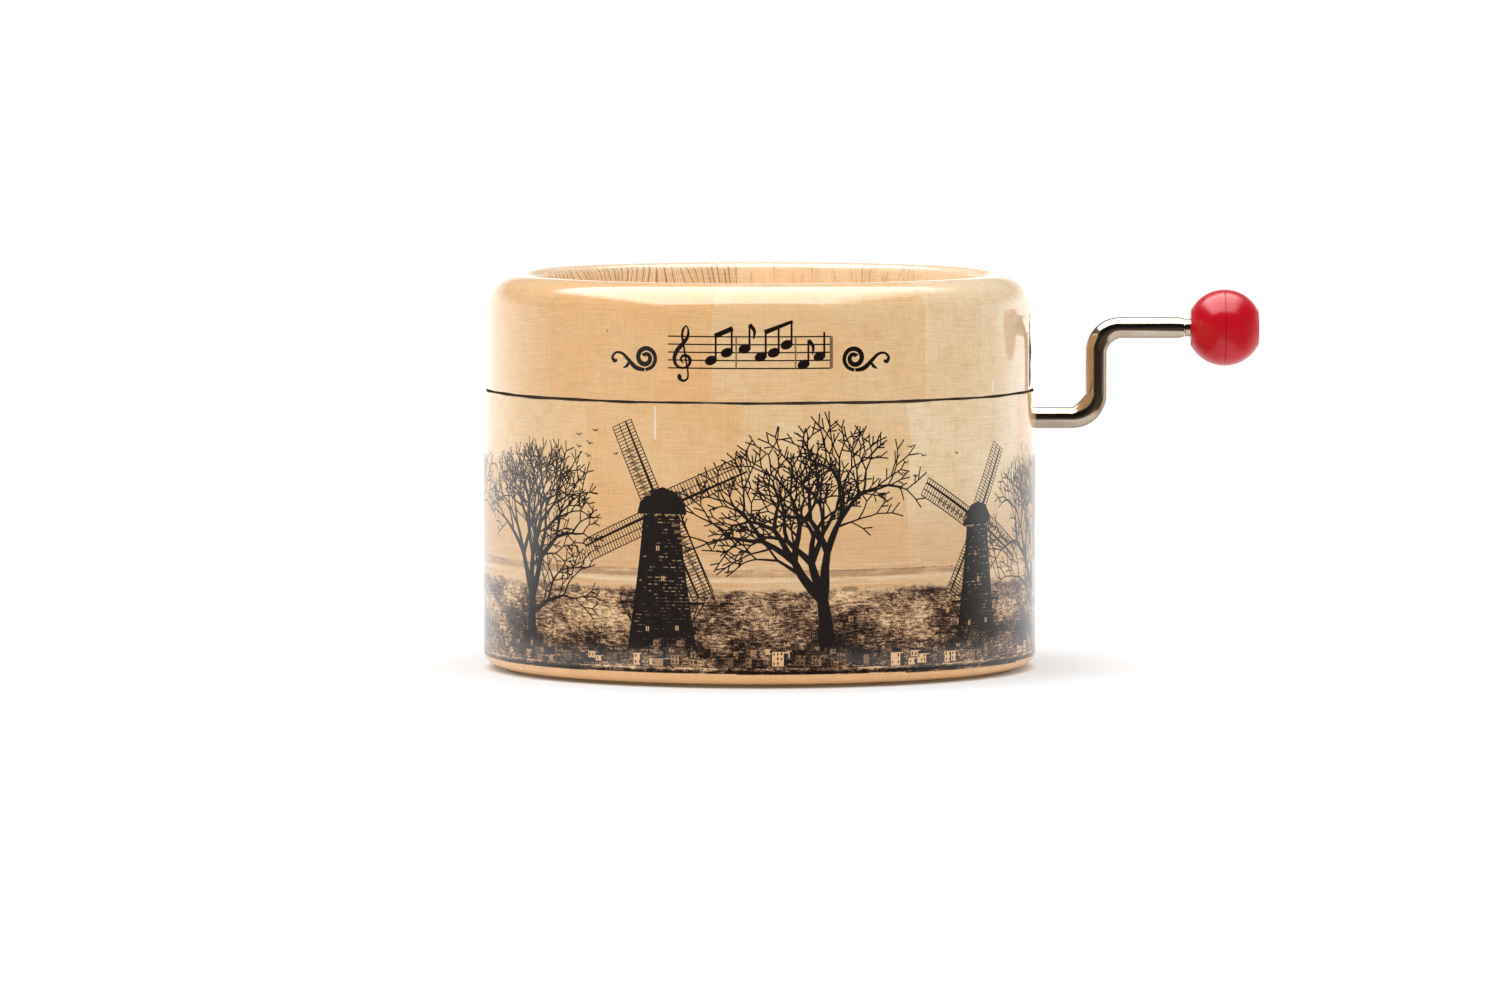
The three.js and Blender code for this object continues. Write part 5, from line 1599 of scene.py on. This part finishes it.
def pinned_drum():
    """The sleeve of the drum, joined with a tapered pin at each of the CAD's pin places."""
    front, back = both_sides("drum_sleeve", Y)
    outer, inner, soft = DRUM_RADIUS, DRUM_RADIUS - DRUM_WALL, 0.12
    sleeve = turned([
        (inner, front + soft), (inner + soft, front), (outer - soft, front), (outer, front + soft),
        (outer, back - soft), (outer - soft, back), (inner + soft, back), (inner, back - soft),
    ], 144, Y, DRUM_AXIS)
    foot = DRUM_RADIUS - DRUM_WALL / 2
    start()
    bpy.ops.mesh.primitive_cone_add(
        vertices=10, radius1=0.21 * MM, radius2=0.15 * MM, depth=(PIN_TIP - foot) * MM,
        location=(0, 0, (PIN_TIP + foot) / 2 * MM))
    pattern = bpy.context.object
    settle()
    pins = []
    for place, angle in pin_places():
        pin = added("pin", pattern.data.copy())
        pin.rotation_euler = (0, angle, 0)
        pin.location = Vector((DRUM_X, place, DRUM_Z)) * MM
        pins.append(pin)
    bpy.data.objects.remove(pattern, do_unlink=True)
    start(sleeve)
    for pin in pins:
        pin.select_set(True)
    bpy.ops.object.join()
    finished(sleeve, "pinned_drum_sleeve", "drum", "brass", "drum_sleeve")


def drum_cap(name, node, outside, inside):
    """A moulded end cap with a dished face."""
    radius, bore, soft = DRUM_RADIUS - DRUM_WALL - 0.1, 1.1, 0.15
    dish = outside + (inside - outside) / 3
    lower = outside + math.copysign(soft, inside - outside)
    piece = turned([
        (bore, outside), (radius * 0.42, outside), (radius * 0.45, lower), (radius * 0.5, dish),
        (radius * 0.85, dish), (radius * 0.9, lower), (radius * 0.92, outside),
        (radius - soft, outside), (radius, lower), (radius, inside), (bore, inside),
    ], 72, Y, DRUM_AXIS)
    finished(piece, name, "drum", "black_plastic", node)


def arbor():
    """The shaft of the drum, with its ends chamfered."""
    front, back = both_sides("drum_arbor", Y)
    radius, chamfer = 1.0, 0.3
    piece = turned([
        (0, front), (radius - chamfer, front), (radius, front + chamfer), (radius, back - chamfer),
        (radius - chamfer, back), (0, back),
    ], 40, Y, DRUM_AXIS)
    finished(piece, "drum_shaft", "drum", "spring_steel", "drum_arbor")


def bush(name, node, face, end):
    """A flanged bearing, from the face of its flange to the end of its barrel."""
    flange = half(node, X)
    bore, barrel, thick, soft = 1.15, 1.7, 0.5, 0.08
    way = math.copysign(1, end - face)
    piece = turned([
        (bore + soft, face), (flange - soft, face), (flange, face + soft * way),
        (flange, face + thick * way), (barrel, face + thick * way), (barrel, end - soft * way),
        (barrel - soft, end), (bore + soft, end), (bore, end - soft * way), (bore, face + soft * way),
    ], 40, Y, DRUM_AXIS)
    finished(piece, name, "box", "brass", node)


def screw_pattern(length):
    """A slotted pan head screw that points down, with the underside of its head at 0."""
    shank, head, height, pitch = 1.3, 2.2, SCREW_HEAD, 0.45
    profile = [(0, -length), (shank - 0.3, -length), (shank, -length + 0.3)]
    for i in range(int((length - 0.9) / pitch)):
        z = -length + 0.3 + i * pitch
        profile += [(shank, z + 0.06), (shank - 0.2, z + pitch / 2), (shank, z + pitch - 0.06)]
    profile += [
        (shank, -0.05), (shank, 0), (head - 0.1, 0), (head, 0.1), (head, height * 0.5),
        (head * 0.96, height * 0.66), (head * 0.86, height * 0.82), (head * 0.68, height * 0.94),
        (head * 0.4, height), (0, height),
    ]
    piece = turned(profile, 40)
    start()
    bpy.ops.mesh.primitive_cube_add(size=MM, location=(0, 0, height * MM))
    slot = bpy.context.object
    slot.scale = (head * 3, 0.6, 1.4)
    settle()
    cut(piece, slot)
    return piece


def screws():
    """The seven screws. Each sits where its CAD node is, with its slot as it happened to stop."""
    chance = random.Random(31)
    for label, count, upside_down in (
        ("comb_screw", 2, False), ("bracket_screw", 2, False), ("bed_screw", 3, True),
    ):
        nodes = [f"{label}_{i + 1}" for i in range(count)]
        pattern = screw_pattern(2 * half(nodes[0], Z) - SCREW_HEAD)
        for node in nodes:
            low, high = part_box(node)
            centre = (low + high) / 2
            level = low.z + SCREW_HEAD * MM if upside_down else high.z - SCREW_HEAD * MM
            screw = added(node, pattern.data.copy())
            screw.location = (centre.x, centre.y, level)
            screw.rotation_euler = (math.pi if upside_down else 0, 0, chance.uniform(0, math.pi))
            finished(screw, node.replace("screw", "pan_screw"), "box", "nickelled_steel", node)
        bpy.data.objects.remove(pattern, do_unlink=True)


body_board()
neck_board()
lid_board()
paper_disc("base_paper_disc", "base_paper", "box", "plain_paper", seed=4)
paper_disc("lid_lining_disc", "lid_lining", "lid", "plain_paper", seed=6)
paper_disc("lid_top_paper_disc", "lid_top_paper", "lid", "printed_paper", "lid_print", 0.04, seed=8)
crank_rod()
knob()
knob_pin()
pinned_drum()
drum_cap("front_drum_cap", "drum_cap_front", *both_sides("drum_cap_front", Y))
drum_cap("back_drum_cap", "drum_cap_back", *both_sides("drum_cap_back", Y)[::-1])
arbor()
bush("front_drum_bush", "drum_bush_front", *both_sides("drum_bush_front", Y)[::-1])
bush("back_drum_bush", "drum_bush_back", *both_sides("drum_bush_back", Y))
screws()
dressed("cast_bedplate", "bedplate", "box", "zinc_casting", 0.22)
dressed("tuned_comb", "comb", "box", "spring_steel", 0.05)
dressed("bent_crank_bracket", "crank_bracket", "box", "nickelled_steel", 0.12)
dressed("nylon_worm_wheel", "worm_wheel", "drum", "white_nylon", 0.05, angle=30)
dressed("brass_worm", "worm", "crank", "brass", 0.05, angle=40)

# What stays as the CAD has it gets the same finishes
for part in frame["record"]["subparts"]:
    slot = part["material_slot"]
    for place in frame["nodes"][part["node"]].material_slots:
        place.material = FINISHES["body_print" if slot == "printed_paper" else slot]


# Studio


def rays(paint):
    """What kind of ray asks, and 1 for what the camera sees, itself or in a mirror or glass."""
    path = paint.add("LightPath", {}).outputs
    seen = paint.plus(path["Is Camera Ray"], path["Is Glossy Ray"])
    return path, paint.math("ADD", seen, path["Is Transmission Ray"], clamp=True)


def pale_floor():
    """A round pale table. Mirrors see its far side and the strip in front of the box dark. For the
    camera it glows less near the box, a painted shade round its foot.
    """
    bpy.ops.mesh.primitive_circle_add(vertices=96, radius=0.45, fill_type="NGON")
    floor = bpy.context.object
    floor.name = "pale_floor"
    paint = Finish("pale_floor", Base_Color=grey(0.8), Roughness=1.0, Specular_IOR_Level=0.0,
                   Emission_Color=grey(1))
    path, _ = rays(paint)
    away = paint.add("VectorMath", {0: paint.place()}, operation="LENGTH").outputs["Value"]
    x, y, _ = paint.axes(paint.place())
    far = paint.within(paint.spread(away, 74.0, 96.0), y, 60.0, -20.0)
    in_front = paint.within(
        paint.spread(paint.math("ABSOLUTE", x), 40.0, 33.0), y, -20.0, -34.0)
    dark = paint.math("MULTIPLY", paint.math("MAXIMUM", far, in_front), path["Is Glossy Ray"])
    pale = paint.mix(path["Is Diffuse Ray"], grey(0.8), grey(0.93))
    paint.set("Base Color", paint.mix(dark, pale, (0.07, 0.055, 0.04, 1)))
    # painted shade: the floor glows less for the camera near the box
    glow_with_painted_shade = paint.spread(away, 40.0, 110.0, 0.12, 0.5)
    paint.set("Emission Strength", paint.math("MULTIPLY", path["Is Camera Ray"], glow_with_painted_shade))
    floor.data.materials.append(paint.material)


class Surroundings(Finish):
    """The world, painted like a finish."""

    def __init__(self):
        world = bpy.data.worlds.new("studio")
        bpy.context.scene.world = world
        world.use_nodes = True
        self.tree = world.node_tree
        self.shader = self.tree.nodes["Background"]


def warm_grey(level):
    return (level, level * 0.9, level * 0.8, 1)


def studio():
    """Paints the surroundings: white for the camera, grey light, and the room that mirrors see."""
    paint = Surroundings()
    path, seen = rays(paint)
    x, y, z = paint.axes(paint.add("TexCoord", {}).outputs["Generated"])
    round_about = paint.math("ARCTAN2", x, paint.math("MULTIPLY", y, -1))
    sides = paint.ramp(paint.spread(round_about, -math.pi, math.pi), [
        (0.0, grey(1.7)), (0.13, grey(1.7)), (0.22, warm_grey(0.5)), (0.38, warm_grey(0.3)),
        (0.42, warm_grey(0.03)), (0.66, warm_grey(0.03)), (0.70, warm_grey(0.34)),
        (0.79, warm_grey(0.5)), (0.87, grey(1.7)),
    ])
    upwards = paint.spread(z, 0.12, 0.3, 1.0, 0.16)
    sides = paint.mix(1.0, sides, upwards, blend="MULTIPLY")
    over_x, over_y = paint.math("DIVIDE", x, z), paint.math("DIVIDE", y, z)
    panel = paint.within(paint.spread(over_x, -0.9, 0.6, 6.2, 4.3), z, 0.3, 0.4)
    for across, edge, soft in (
        (over_x, -0.9, 0.15), (over_x, 0.6, 0.2), (over_y, -0.75, 0.07), (over_y, 0.85, 0.07),
    ):
        soft = math.copysign(soft, edge)
        panel = paint.within(panel, across, edge + soft, edge - soft)
    mirrored = paint.mix(1.0, sides, panel, blend="ADD")
    lit = paint.mix(seen, grey(0.63), mirrored)
    paint.set("Color", paint.mix(path["Is Camera Ray"], lit, grey(1)))
    paint.set("Strength", 1.0)


def aimed(name, data, location, target):
    """A lamp or camera that looks at a point."""
    made = added(name, data)
    made.location = location
    made.rotation_euler = (Vector(target) - Vector(location)).to_track_quat("-Z", "Y").to_euler()
    return made


pale_floor()
studio()

softbox = bpy.data.lights.new("softbox", "AREA")
softbox.shape = "RECTANGLE"
softbox.size, softbox.size_y = 1.2, 1.28
softbox.energy = 8.7
lamp = aimed("softbox", softbox, (-0.12, -0.04, 0.84), (-0.10, 0.0, 0.0))
lamp.visible_camera = lamp.visible_glossy = False

photo_view = bpy.data.cameras.new("photo_view")
photo_view.lens = 256.3
photo_view.sensor_width = 36.0
bpy.context.scene.camera = aimed(
    "photo_view", photo_view, (-0.0013, -1.35, 0.110), (-0.0013, 0, 0.0211))
bpy.context.scene.view_settings.view_transform = "Standard"
